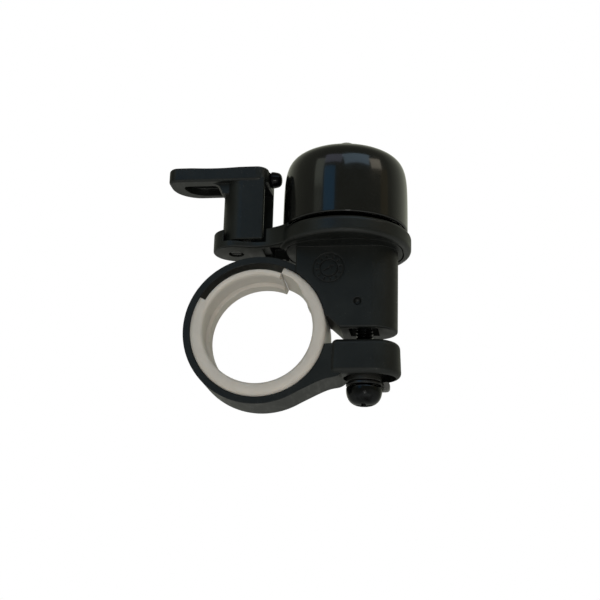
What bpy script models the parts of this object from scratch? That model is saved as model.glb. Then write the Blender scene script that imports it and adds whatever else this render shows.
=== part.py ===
"""Bicycle bell on a one-piece handlebar strap, with a rocking thumb lever.

Metres, +Z up.  The origin is the centre of the handlebar bore, the handlebar runs along Y and the
dome stands on +Z, to the +X side of the handlebar.
"""
import math

import bmesh
import bpy
from mathutils import Matrix, Vector

NAME = "bicycle_bell"
MM = 0.001

# clamp
WIDTH = 11.6 * MM
HALF = WIDTH / 2
BORE_R = 16.0 * MM
STRAP_R = 17.35 * MM
STRAP_START_DEG = 50.0
STRAP_TANGENT_DEG = 300.0
BLOCK_X0 = 8.4 * MM
BLOCK_X1 = 31.6 * MM
BLOCK_Z0 = 0.4 * MM
BLOCK_Z1 = 20.1 * MM
LUG_X0 = 17.0 * MM
LUG_X1 = 32.1 * MM
LUG_Z0 = -10.5 * MM
LUG_Z1 = -2.95 * MM
LUG_DRAFT = 0.35 * MM

# clamp screw stack
SCREW_X = 24.06 * MM
SCREW_R = 2.0 * MM
SCREW_HOLE_R = 2.35 * MM
HEAD_R = 4.1 * MM
HEAD_Z0 = -16.9 * MM
HEAD_Z1 = -12.6 * MM
NUT_Z0 = 3.6 * MM
NUT_Z1 = 6.6 * MM
NUT_SIDE = 7.0 * MM

# liner
LINER_RI = 12.7 * MM
LINER_RO = 15.7 * MM
LINER_HALF = 6.4 * MM
LINER_RELIEF_R = 13.95 * MM
LINER_SPLIT_DEG = 67.8
LINER_RELIEF_END_DEG = 151.0
LINER_SPLIT_GAP = 0.5 * MM
LINER_TAPER_DEG = 33.0

# dome and base
DOME_X = 19.15 * MM
DOME_R = 14.66 * MM
DOME_WALL = 0.95 * MM
RIM_Z = 24.56 * MM
APEX_Z = 45.3 * MM
FLANGE_R = 15.5 * MM
FLANGE_Z0 = 19.5 * MM
FLANGE_Z1 = 23.6 * MM
SKIRT_R = 13.3 * MM
PAD_LENGTH = 27.0 * MM
PAD_WIDTH = 20.4 * MM
PAD_Z0 = 19.55 * MM
PAD_GAP = 0.3 * MM
PLATE_TOP_Z = 21.6 * MM
BOSS_R = 3.9 * MM
BOSS_TOP_Z = 41.6 * MM

# screws from the base into the clamp body: side, x, height of the tip
BASE_SCREWS = (("left", 10.15 * MM, 13.8 * MM), ("right", 28.15 * MM, 11.5 * MM))
BASE_HOLE_R = 1.65 * MM

# lobe that carries the lever
LOBE_X = -6.65 * MM
LOBE_R = 5.45 * MM
LOBE_Z0 = 20.0 * MM
NECK_TOP_Z = 24.6 * MM
NECK_FILLET_R = 11.0 * MM
POCKET_GAP = 0.85 * MM
POCKET_X1 = 1.15 * MM
POCKET_Z = 21.15 * MM

# lever
POST_HALF = 5.4 * MM
POST_X0 = -10.0 * MM
POST_X1_NEAR = 0.35 * MM
POST_X1_FAR = 0.8 * MM
POST_WALL = 0.85 * MM
POST_Z0 = 21.9 * MM
TAB_Z0 = 36.6 * MM
TAB_Z1 = 40.2 * MM
TAB_X0 = -23.1 * MM
TAB_X1 = 1.0 * MM
TAB_Y0 = -5.75 * MM
TAB_Y1 = 5.6 * MM
KNOB_Z = 38.7 * MM
KNOB_R = 1.98 * MM
KNOB_X1 = 3.75 * MM
KNOB_NECK_R = 0.9 * MM
SOCKET_R = 1.2 * MM
HEEL_X = -9.2 * MM
HEEL_Z = 22.2 * MM
SHELF_Z0 = 23.2 * MM
SHELF_Z1 = 24.2 * MM

# tie screw and spring
TIE_R = 0.8 * MM
TIE_HEAD_R = 1.5 * MM
TIE_TOP_Z = 34.2 * MM
SEAT_Z1 = 24.9 * MM
TIE_NUT_Z0 = 31.9 * MM
TIE_NUT_Z1 = 33.5 * MM
SPRING_R = 1.65 * MM
WIRE_R = 0.22 * MM
SPRING_TURNS = 7

ARC = 64
SMALL_ARC = 32

for old in list(bpy.data.objects):
    bpy.data.objects.remove(old, do_unlink=True)

PARTS = bpy.data.collections.new(NAME)
CUTTERS = bpy.data.collections.new(NAME + "_cutters")
bpy.context.scene.collection.children.link(PARTS)
bpy.context.scene.collection.children.link(CUTTERS)


def material(name, colour, metallic, roughness):
    mat = bpy.data.materials.new(name)
    mat.use_nodes = True
    shader = mat.node_tree.nodes["Principled BSDF"]
    shader.inputs["Base Color"].default_value = (*colour, 1.0)
    shader.inputs["Metallic"].default_value = metallic
    shader.inputs["Roughness"].default_value = roughness
    mat.diffuse_color = (*colour, 1.0)
    return mat


PLASTIC = (0.022, 0.024, 0.024)
STEEL = (0.50, 0.50, 0.51)


def adopt(obj, mat=None):
    """Puts an object in its collection: a named part when it has a material, else a helper."""
    if mat is None:
        CUTTERS.objects.link(obj)
        obj.hide_render = True
        obj.display_type = "WIRE"
    else:
        PARTS.objects.link(obj)
        obj.data.materials.append(mat)
    return obj


def from_bmesh(name, bm, mat=None):
    bmesh.ops.recalc_face_normals(bm, faces=bm.faces)
    mesh = bpy.data.meshes.new(name)
    bm.to_mesh(mesh)
    bm.free()
    return adopt(bpy.data.objects.new(name, mesh), mat)


def prism(name, outline, axis, low, high, mat=None, grow=0.0):
    """Extrudes an outline along Y (points are x, z) or along Z (points are x, y).

    grow widens the low end about the outline's middle, as a moulding draft."""
    bm = bmesh.new()
    cx = sum(p[0] for p in outline) / len(outline)
    rows = []
    for level, extra in ((low, grow), (high, 0.0)):
        row = []
        for a, b in outline:
            if extra:
                way = Vector((a - cx, b))
                way = way.normalized() * extra if way.length > 0 else way
                a, b = a + way.x, b + way.y
            row.append(bm.verts.new((a, level, b) if axis == "Y" else (a, b, level)))
        rows.append(row)
    bm.faces.new(rows[0])
    bm.faces.new(rows[1])
    count = len(outline)
    for i in range(count):
        j = (i + 1) % count
        bm.faces.new((rows[0][i], rows[0][j], rows[1][j], rows[1][i]))
    return from_bmesh(name, bm, mat)


def box(name, x0, x1, y0, y1, z0, z1, mat=None):
    return prism(name, [(x0, y0), (x1, y0), (x1, y1), (x0, y1)], "Z", z0, z1, mat)


def arc(cx, cy, radius, start, end, count):
    """Points on an arc, angles in degrees, both ends included."""
    step = (end - start) / count
    angles = [math.radians(start + step * i) for i in range(count + 1)]
    return [(cx + radius * math.cos(t), cy + radius * math.sin(t)) for t in angles]


def cylinder(name, radius, low, high, centre=(0.0, 0.0), axis="Z", mat=None, sides=SMALL_ARC):
    """A cylinder along Z about (x, y), or along Y about (x, z)."""
    outline = arc(centre[0], centre[1], radius, 0.0, 360.0, sides)[:-1]
    return prism(name, outline, axis, low, high, mat)


def stadium(x0, x1, half, count=SMALL_ARC):
    """A flat left end at x0 and a full round right end at x1."""
    return [(x0, -half)] + arc(x1 - half, 0.0, half, -90.0, 90.0, count // 2) + [(x0, half)]


def slot_outline(x0, x1, half, count=SMALL_ARC):
    right = arc(x1 - half, 0.0, half, -90.0, 90.0, count // 2)
    left = arc(x0 + half, 0.0, half, 90.0, 270.0, count // 2)
    return right + left


def oval(length, width, count=48):
    """A plump oval about the dome's axis, a little squarer than an ellipse."""
    points = []
    for i in range(count):
        t = 2 * math.pi * i / count
        x = math.copysign(abs(math.cos(t)) ** 0.75, math.cos(t)) * length / 2
        y = math.copysign(abs(math.sin(t)) ** 0.75, math.sin(t)) * width / 2
        points.append((DOME_X + x, y))
    return points


def lathe(name, profile, centre, mat=None, axis="Z", sides=ARC):
    """Turns a profile of (radius, height) points, listed top to bottom down its outer side."""
    mesh = bpy.data.meshes.new(name)
    edges = [(i, i + 1) for i in range(len(profile) - 1)]
    if profile[0][0] > 0:
        edges.append((len(profile) - 1, 0))
    mesh.from_pydata([(r, 0.0, h) for r, h in profile], edges, [])
    obj = adopt(bpy.data.objects.new(name, mesh), mat)
    turn = obj.modifiers.new("Turn", "SCREW")
    turn.axis = "Z"
    turn.angle = 2 * math.pi
    turn.steps = sides
    turn.render_steps = sides
    turn.use_merge_vertices = True
    turn.merge_threshold = 0.00001
    turn.use_normal_calculate = True
    obj.location = centre
    if axis == "X":
        obj.rotation_euler = (0.0, math.pi / 2, 0.0)
    return obj


def combine(obj, other, how):
    step = obj.modifiers.new(how.title() + "_" + other.name, "BOOLEAN")
    step.operation = how
    step.object = other
    step.solver = "EXACT"
    return step


def cut(obj, *others):
    for other in others:
        combine(obj, other, "DIFFERENCE")


def add(obj, *others):
    for other in others:
        combine(obj, other, "UNION")


def bevel(obj, width, segments=3, angle=35.0):
    step = obj.modifiers.new("Bevel", "BEVEL")
    step.width = width
    step.segments = segments
    step.limit_method = "ANGLE"
    step.angle_limit = math.radians(angle)
    step.use_clamp_overlap = True
    step.harden_normals = False
    return step


def smooth(obj, angle=38.0):
    for face in obj.data.polygons:
        face.use_smooth = True
    obj.data.set_sharp_from_angle(angle=math.radians(angle))


def bake(obj):
    """Applies an object's own modifiers, so a shape used by another one stays exact."""
    bpy.context.view_layer.update()
    graph = bpy.context.evaluated_depsgraph_get()
    mesh = bpy.data.meshes.new_from_object(obj.evaluated_get(graph))
    obj.modifiers.clear()
    obj.data = mesh
    return obj


# ---------------------------------------------------------------- clamp body
def make_clamp_body():
    mat = material("clamp_nylon", PLASTIC, 0.0, 0.46)
    body = prism("clamp_body", stadium(BLOCK_X0, BLOCK_X1, HALF), "Z", BLOCK_Z0, BLOCK_Z1, mat)
    bevel(body, 0.45 * MM)

    tangent = math.radians(STRAP_TANGENT_DEG)
    leave = (STRAP_R * math.cos(tangent), STRAP_R * math.sin(tangent))
    outline = arc(0, 0, STRAP_R, STRAP_START_DEG, STRAP_TANGENT_DEG, ARC)
    outline += [(17.5 * MM, -10.2 * MM), (19.6 * MM, -9.6 * MM), (19.6 * MM, -3.3 * MM)]
    outline += [(15.0 * MM, -3.6 * MM)]
    outline += arc(0, 0, BORE_R - 0.6 * MM, 346.5, STRAP_START_DEG, ARC)
    strap = prism("strap_form", outline, "Y", -HALF, HALF)
    bevel(strap, 0.3 * MM, 2)

    lug = prism("lug_form", stadium(LUG_X0, LUG_X1, HALF), "Z", LUG_Z0, LUG_Z1, grow=LUG_DRAFT)
    bevel(lug, 1.3 * MM, 4)

    pad = prism("pad_form", oval(PAD_LENGTH, PAD_WIDTH), "Z", PAD_Z0, BLOCK_Z1)
    bevel(pad, 0.15 * MM, 1)
    add(body, strap, lug, pad)

    bore = cylinder("bore_cutter", BORE_R, -HALF - 2 * MM, HALF + 2 * MM, axis="Y", sides=96)
    recess = prism(
        "lug_recess_cutter", slot_outline(SCREW_X - 4.8 * MM, 31.3 * MM, 4.7 * MM),
        "Z", LUG_Z0 - 2 * MM, LUG_Z0 + 2.0 * MM,
    )
    shank = cylinder("screw_hole_cutter", SCREW_HOLE_R, -12 * MM, 12 * MM, (SCREW_X, 0))
    under = box(
        "underside_cutter", 20.7 * MM, 27.4 * MM, -4.5 * MM, 2.0 * MM, -1 * MM, 2.6 * MM
    )
    bevel(under, 0.5 * MM, 2)
    gap = 0.3 * MM
    nut_side = NUT_SIDE / 2 + gap
    nut_pocket = box(
        "nut_pocket_cutter", SCREW_X - nut_side, SCREW_X + nut_side, -nut_side, HALF + 1 * MM,
        NUT_Z0 - gap, NUT_Z1 + gap,
    )
    pilots = [
        cylinder("pilot_%s_cutter" % side, BASE_HOLE_R, tip - 0.6 * MM, 21 * MM, (x, 0), sides=24)
        for side, x, tip in BASE_SCREWS
    ]
    corner = prism(
        "block_corner_cutter",
        [(13 * MM, -7 * MM), (16.1 * MM, -7 * MM), (17.9 * MM, 6.5 * MM), (13 * MM, 6.5 * MM)],
        "Z", -1 * MM, 1.7 * MM,
    )
    dimple = cylinder(
        "dimple_cutter", 0.95 * MM, -HALF - 1 * MM, -HALF + 0.7 * MM, (22.8 * MM, 6.2 * MM), "Y"
    )
    cut(body, bore, recess, shank, under, nut_pocket, corner, *pilots, dimple)
    smooth(body)
    return body


def screw_profile(head_r, head_low, head_high, shank_r, tip):
    """A pan-head screw seen upside down or upright, its head between the two given heights."""
    sign = 1.0 if head_low > tip else -1.0
    crown = head_high if sign > 0 else head_low
    seat = head_low if sign > 0 else head_high
    height = abs(crown - seat)
    top = [(0.0, crown)]
    for i in range(1, 7):
        t = math.radians(15 * i)
        top.append((head_r * math.sin(t) ** 0.8, seat + sign * height * (0.42 + 0.58 * math.cos(t))))
    top.append((head_r, seat + sign * 0.1 * height))
    top.append((head_r * 0.97, seat))
    top += [(shank_r, seat), (shank_r, tip + sign * shank_r * 0.4), (shank_r * 0.6, tip), (0.0, tip)]
    return top if sign > 0 else top[::-1]


def cross_recess(name, centre, z, size, depth, up):
    """A cross-shaped recess cutter for a screw head whose crown is at z."""
    low, high = (z - depth, z + 1 * MM) if up else (z - 1 * MM, z + depth)
    x, y = centre
    arm = box(name, x - size, x + size, y - size * 0.24, y + size * 0.24, low, high)
    other = box(name + "_arm", x - size * 0.24, x + size * 0.24, y - size, y + size, low, high)
    add(arm, other)
    return arm


def make_clamp_hardware():
    liner_mat = material("liner_elastomer", (0.60, 0.58, 0.54), 0.0, 0.42)
    groove = 0.55 * MM
    soft = 0.35 * MM
    profile = [
        (LINER_RO - soft, LINER_HALF), (LINER_RO, LINER_HALF - soft),
        (LINER_RO, -LINER_HALF + 0.8 * MM), (LINER_RO - 0.8 * MM, -LINER_HALF),
        (LINER_RI + soft, -LINER_HALF), (LINER_RI, -LINER_HALF + soft),
        (LINER_RI, -4.3 * MM), (LINER_RI + groove, -3.7 * MM),
        (LINER_RI + groove, 1.8 * MM), (LINER_RI, 2.4 * MM),
        (LINER_RI, LINER_HALF - soft), (LINER_RI + soft, LINER_HALF),
    ]
    liner = lathe("clamp_liner", profile, (0, 0, 0), liner_mat, sides=72)
    bake(liner)
    liner.data.transform(Matrix.Rotation(-math.pi / 2, 4, "X"))
    relief = prism(
        "liner_relief_cutter",
        arc(0, 0, LINER_RELIEF_R, LINER_SPLIT_DEG, LINER_RELIEF_END_DEG, 30)
        + arc(0, 0, LINER_RO + 2 * MM, LINER_RELIEF_END_DEG, LINER_SPLIT_DEG, 30),
        "Y", -LINER_HALF - 1 * MM, LINER_HALF + 1 * MM,
    )
    thin_end = []
    for i in range(17):
        u = i / 16
        angle = math.radians(LINER_TAPER_DEG + (LINER_SPLIT_DEG - LINER_TAPER_DEG) * u)
        radius = LINER_RI - 0.15 * MM + 1.4 * MM * math.sin(math.pi / 2 * min(1.0, 1.4 * u))
        thin_end.append((radius * math.cos(angle), radius * math.sin(angle)))
    thin_end += arc(0, 0, LINER_RI - 2 * MM, LINER_SPLIT_DEG, LINER_TAPER_DEG, 16)
    taper = prism("liner_taper_cutter", thin_end, "Y", -LINER_HALF - 1 * MM, LINER_HALF + 1 * MM)
    slit = box(
        "liner_slit_cutter", 9 * MM, 20 * MM, -8 * MM, 8 * MM,
        -LINER_SPLIT_GAP / 2, LINER_SPLIT_GAP / 2,
    )
    slit.rotation_euler = (0.0, -math.radians(LINER_SPLIT_DEG), 0.0)
    cut(liner, relief, taper, slit)
    smooth(liner)

    dark_screw = material("screw_black_zinc", (0.03, 0.03, 0.032), 0.6, 0.22)
    screw = lathe(
        "clamp_screw", screw_profile(HEAD_R, HEAD_Z0, HEAD_Z1, SCREW_R, 10.0 * MM),
        (SCREW_X, 0, 0), dark_screw, sides=36,
    )
    cut(screw, cross_recess("clamp_cross_cutter", (SCREW_X, 0), HEAD_Z0, 2.3 * MM, 1.7 * MM, False))
    smooth(screw)

    zinc = material("washer_zinc", (0.16, 0.16, 0.17), 0.9, 0.32)
    washer = lathe(
        "clamp_washer", ring_profile(4.15 * MM, SCREW_HOLE_R, -12.3 * MM, -11.7 * MM, 0.12 * MM),
        (SCREW_X, 0, 0), zinc, sides=36,
    )
    smooth(washer)

    nylon = material("retainer_nylon", (0.62, 0.62, 0.60), 0.0, 0.4)
    retainer = lathe(
        "screw_retainer", ring_profile(3.9 * MM, SCREW_HOLE_R, -11.4 * MM, -8.8 * MM, 0.2 * MM),
        (SCREW_X, 0, 0), nylon, sides=36,
    )
    ear = box("retainer_ear_form", 26.6 * MM, 29.7 * MM, 1.4 * MM, 3.4 * MM, -12.9 * MM, -10.9 * MM)
    ear_clear = cylinder("retainer_ear_cutter", 4.5 * MM, -14 * MM, -11.4 * MM, (SCREW_X, 0))
    cut(ear, ear_clear)
    bevel(ear, 0.3 * MM, 2)
    add(retainer, ear)
    smooth(retainer)

    steel = material("nut_steel", STEEL, 1.0, 0.34)
    half = NUT_SIDE / 2
    nut = box("clamp_nut", SCREW_X - half, SCREW_X + half, -half, half, NUT_Z0, NUT_Z1, steel)
    bevel(nut, 0.35 * MM, 2)
    cut(nut, cylinder("nut_hole_cutter", SCREW_HOLE_R, 0, 9 * MM, (SCREW_X, 0)))
    smooth(nut)


def ring_profile(outer, inner, low, high, edge):
    return [
        (outer - edge, high), (outer, high - edge), (outer, low + edge), (outer - edge, low),
        (inner + edge, low), (inner, low + edge), (inner, high - edge), (inner + edge, high),
    ]


# ---------------------------------------------------------------- base plate
def make_base():
    mat = material("base_nylon", PLASTIC, 0.0, 0.44)
    top_round = 1.2 * MM
    low_round = 1.0 * MM
    profile = [(0.0, BOSS_TOP_Z), (BOSS_R - 0.3 * MM, BOSS_TOP_Z), (BOSS_R, BOSS_TOP_Z - 0.3 * MM)]
    profile += [(BOSS_R + 0.5 * MM, PLATE_TOP_Z + 1.0 * MM), (BOSS_R + 1.5 * MM, PLATE_TOP_Z)]
    profile += [(SKIRT_R - 0.2 * MM, PLATE_TOP_Z), (SKIRT_R, PLATE_TOP_Z + 0.2 * MM)]
    profile += [(SKIRT_R, FLANGE_Z1 - 0.3 * MM), (SKIRT_R + 0.3 * MM, FLANGE_Z1)]
    for i in range(4):
        t = math.radians(90 - 30 * i)
        profile.append((
            FLANGE_R - top_round + top_round * math.cos(t),
            FLANGE_Z1 - top_round + top_round * math.sin(t),
        ))
    for i in range(4):
        t = math.radians(-30 * i)
        profile.append((
            FLANGE_R - low_round + low_round * math.cos(t),
            FLANGE_Z0 + low_round + low_round * math.sin(t),
        ))
    profile += [(0.0, FLANGE_Z0)]
    base = lathe("base_plate", profile, (DOME_X, 0, 0), mat, sides=64)
    bake(base)

    reach = DOME_X - LOBE_X
    d1 = LOBE_R + NECK_FILLET_R
    d2 = FLANGE_R - 0.3 * MM + NECK_FILLET_R
    along = (d1 * d1 - d2 * d2 + reach * reach) / (2 * reach)
    side = math.sqrt(d1 * d1 - along * along)
    lobe_deg = math.degrees(math.atan2(side, along))
    flange_deg = math.degrees(math.atan2(side, along - reach))
    low_neck = arc(LOBE_X + along, -side, NECK_FILLET_R, 180 - lobe_deg, 180 - flange_deg, 12)
    high_neck = arc(LOBE_X + along, side, NECK_FILLET_R, 180 + flange_deg, 180 + lobe_deg, 12)
    lobe = arc(LOBE_X, 0, LOBE_R, lobe_deg, 360 - lobe_deg, 36)
    outline = lobe + low_neck[1:] + [(DOME_X - 7 * MM, low_neck[-1][1])]
    outline += [(DOME_X - 7 * MM, high_neck[0][1])] + high_neck[:-1]
    neck = prism("neck_form", outline, "Z", LOBE_Z0, NECK_TOP_Z)
    bevel(neck, 0.7 * MM, 4, 50)
    clear_dome = cylinder(
        "neck_clear_cutter", FLANGE_R - 0.35 * MM, FLANGE_Z1 - 0.8 * MM, 30 * MM, (DOME_X, 0),
        sides=72,
    )
    inside = cylinder(
        "neck_inside_cutter", SKIRT_R + 0.4 * MM, 18 * MM, 30 * MM, (DOME_X, 0), sides=72
    )
    pocket_line = arc(
        POST_X0 + POST_HALF, 0, POST_HALF + POCKET_GAP, 90.0, 270.0, 36
    ) + [(POCKET_X1, -9 * MM), (POCKET_X1, 9 * MM)]
    pocket = prism("lever_pocket_cutter", pocket_line, "Z", POCKET_Z, 30 * MM)
    cut(neck, clear_dome, inside, pocket)
    boss = cylinder("tie_boss_form", 2.0 * MM, LOBE_Z0 + 0.5 * MM, 22.3 * MM, (LOBE_X, 0))
    bevel(boss, 0.2 * MM, 2)
    add(base, neck, boss)

    bore = cylinder("boss_bore_cutter", 1.8 * MM, 30 * MM, 44 * MM, (DOME_X, 0))
    nest = cylinder("insert_nest_cutter", 2.7 * MM, 36.2 * MM, 44 * MM, (DOME_X, 0))
    counter = cylinder("tie_counterbore_cutter", 1.85 * MM, 18 * MM, 21.25 * MM, (LOBE_X, 0))
    through = cylinder("tie_hole_cutter", 1.25 * MM, 20 * MM, 24 * MM, (LOBE_X, 0))
    holes = [
        cylinder("base_hole_%s_cutter" % side, BASE_HOLE_R, 18 * MM, 24 * MM, (x, 0))
        for side, x, tip in BASE_SCREWS
    ]
    seat = prism(
        "pad_seat_cutter",
        oval(PAD_LENGTH + 2 * PAD_GAP, PAD_WIDTH + 2 * PAD_GAP),
        "Z", FLANGE_Z0 - 1 * MM, BLOCK_Z1 + PAD_GAP,
    )
    cut(base, bore, nest, counter, through, seat, *holes)
    smooth(base)


def make_base_screws():
    steel = material("base_screw_steel", STEEL, 1.0, 0.3)
    for side, x, tip in BASE_SCREWS:
        name = "base_screw_" + side
        screw = lathe(
            name, screw_profile(2.5 * MM, PLATE_TOP_Z + 0.3 * MM, PLATE_TOP_Z + 2.1 * MM,
                                1.3 * MM, tip),
            (x, 0, 0), steel, sides=24,
        )
        cut(screw, cross_recess(name + "_cross_cutter", (x, 0), PLATE_TOP_Z + 2.1 * MM,
                                1.4 * MM, 1.0 * MM, True))
        smooth(screw)


# ---------------------------------------------------------------- dome
def dome_outer():
    """The bell's outer line from the crown to the rim, as (radius, height)."""
    points = [
        (2.0, 45.22), (4.0, 44.98), (6.5, 44.38), (8.7, 43.68), (10.3, 43.05), (11.5, 42.43),
        (12.4, 41.78), (13.1, 41.0), (13.62, 40.1), (14.02, 39.0), (14.3, 37.7), (14.5, 36.0),
        (14.6, 33.5), (14.64, 30.0), (14.66, 25.0),
    ]
    return [(r * MM, z * MM) for r, z in points]


def make_dome():
    mat = material("dome_black_gloss", (0.012, 0.012, 0.013), 0.35, 0.06)
    outer = dome_outer()
    hole = 1.8 * MM
    profile = [(hole, APEX_Z - 0.05 * MM)] + outer
    profile += [(DOME_R - 0.15 * MM, RIM_Z), (DOME_R - DOME_WALL + 0.15 * MM, RIM_Z)]
    inner = []
    for i in range(len(outer) - 1, -1, -2):
        before = outer[max(i - 1, 0)]
        after = outer[min(i + 1, len(outer) - 1)]
        along = Vector((after[0] - before[0], after[1] - before[1])).normalized()
        inner.append((outer[i][0] + along.y * DOME_WALL, outer[i][1] - along.x * DOME_WALL))
    profile += inner[:-1] + [(hole, APEX_Z - DOME_WALL - 0.08 * MM)]
    dome = lathe("dome", profile, (DOME_X, 0, 0), mat, sides=64)
    smooth(dome, 60)

    rubber = material("bush_rubber", (0.03, 0.03, 0.03), 0.0, 0.7)
    bush = lathe(
        "dome_bush", ring_profile(3.6 * MM, 1.8 * MM, 41.9 * MM, 43.65 * MM, 0.2 * MM),
        (DOME_X, 0, 0), rubber, sides=32,
    )
    smooth(bush)
    brass = material("insert_brass", (0.62, 0.44, 0.16), 1.0, 0.3)
    insert = lathe(
        "boss_insert", ring_profile(2.4 * MM, 1.8 * MM, 36.5 * MM, 41.3 * MM, 0.12 * MM),
        (DOME_X, 0, 0), brass, sides=32,
    )
    smooth(insert)
    zinc = material("dome_washer_zinc", (0.20, 0.20, 0.21), 0.9, 0.3)
    washer = lathe(
        "dome_washer", ring_profile(2.9 * MM, 1.8 * MM, 45.4 * MM, 45.7 * MM, 0.1 * MM),
        (DOME_X, 0, 0), zinc, sides=32,
    )
    smooth(washer)
    steel = material("dome_screw_steel", (0.30, 0.30, 0.31), 1.0, 0.25)
    screw = lathe(
        "dome_screw", screw_profile(2.4 * MM, 45.96 * MM, 47.55 * MM, 1.5 * MM, 32 * MM),
        (DOME_X, 0, 0), steel, sides=32,
    )
    cut(screw, cross_recess("dome_cross_cutter", (DOME_X, 0), 47.55 * MM, 1.3 * MM, 0.9 * MM, True))
    smooth(screw)


# ---------------------------------------------------------------- lever
def tab_outline(inset_near=0.0, inset_far=0.0, inset_left=0.0, right=TAB_X1):
    """The thumb tab from above: straight near edge, big round on the far left."""
    near = TAB_Y0 + inset_near
    far = TAB_Y1 - inset_far
    left = TAB_X0 + inset_left
    small = 2.4 * MM - min(inset_near, inset_left) * 0.4
    corner = 2.0 * MM if inset_near == 0 else 0.5 * MM
    big = min(6.6 * MM - min(inset_far, inset_left) * 0.9, far - near - small)
    points = arc(right - corner, near + corner, corner, -90.0, 0.0, 6) + [(right, far)]
    points += arc(left + big, far - big, big, 90.0, 180.0, 14)
    points += arc(left + small, near + small, small, 180.0, 270.0, 8)
    return points


def post_outline(inset, near_right, far_right):
    half = POST_HALF - inset
    left = POST_X0 + inset
    return [(near_right, -half), (far_right, half)] + arc(left + half, 0, half, 90.0, 270.0, 28)


def make_lever():
    mat = material("lever_nylon", PLASTIC, 0.0, 0.42)
    lever = prism("lever", tab_outline(), "Z", TAB_Z0, TAB_Z1, mat)
    bevel(lever, 0.55 * MM, 4)
    post = prism("post_form", post_outline(0.0, POST_X1_NEAR, POST_X1_FAR), "Z", POST_Z0, TAB_Z0 + 0.8 * MM)
    bevel(post, 0.25 * MM, 2, 50)
    radius = 2.6 * MM
    left = POST_X0 + 2.2 * MM
    curve = arc(POST_X0 - radius, TAB_Z0 - radius, radius, 90.0, 0.0, 10)
    gusset_line = [(left, TAB_Z0 + 0.5 * MM), (curve[0][0], TAB_Z0 + 0.5 * MM)] + curve
    gusset_line += [(left, curve[-1][1])]
    gusset = prism("gusset_form", gusset_line, "Y", -3.9 * MM, 3.9 * MM)
    add(lever, post, gusset)

    hollow = prism(
        "post_hollow_cutter", post_outline(POST_WALL, 3 * MM, 3 * MM), "Z",
        POST_Z0 - 1 * MM, TAB_Z0 - 0.2 * MM,
    )
    keep_shelf = box(
        "shelf_keep_form", POST_X0, -3.4 * MM, -POST_HALF, POST_HALF, SHELF_Z0, SHELF_Z1
    )
    cut(hollow, keep_shelf)
    slot = prism(
        "tab_slot_cutter", tab_outline(3.2 * MM, 2.0 * MM, 3.3 * MM, -11.4 * MM), "Z",
        TAB_Z0 - 1 * MM, TAB_Z0 + 2.0 * MM,
    )
    eye = cylinder("shelf_hole_cutter", 1.55 * MM, 22 * MM, 25 * MM, (LOBE_X, 0))
    socket = cylinder("knob_socket_cutter", SOCKET_R, -2.6 * MM, 3 * MM, (-KNOB_Z, 0), "Z")
    socket.rotation_euler = (0.0, math.pi / 2, 0.0)
    dish = bmesh.new()
    bmesh.ops.create_cone(dish, cap_ends=True, segments=128, radius1=60 * MM, radius2=60 * MM,
                          depth=30 * MM)
    dish_cutter = from_bmesh("tab_dish_cutter", dish)
    dish_cutter.rotation_euler = (math.pi / 2, 0.0, 0.0)
    dish_cutter.location = (-11.5 * MM, 0.0, TAB_Z1 + 60 * MM - 0.35 * MM)
    cut(lever, hollow, slot, eye, socket, dish_cutter)
    smooth(lever, 32)

    knob_mat = material("knob_black_gloss", (0.012, 0.012, 0.016), 0.2, 0.1)
    end = KNOB_X1
    profile = [
        (0.0, end), (0.62 * MM, end - 0.04 * MM), (1.12 * MM, end - 0.2 * MM),
        (1.5 * MM, end - 0.5 * MM), (1.72 * MM, end - 0.9 * MM), (1.84 * MM, end - 1.4 * MM),
        (1.93 * MM, end - 1.8 * MM), (KNOB_R, end - 2.15 * MM), (KNOB_R - 0.12 * MM, 1.35 * MM),
        (KNOB_NECK_R, 1.3 * MM), (KNOB_NECK_R, -2.1 * MM), (KNOB_NECK_R - 0.2 * MM, -2.3 * MM),
        (0.0, -2.3 * MM),
    ]
    knob = lathe("hammer_knob", profile, (0, 0, KNOB_Z), knob_mat, axis="X", sides=32)
    smooth(knob, 45)


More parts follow.
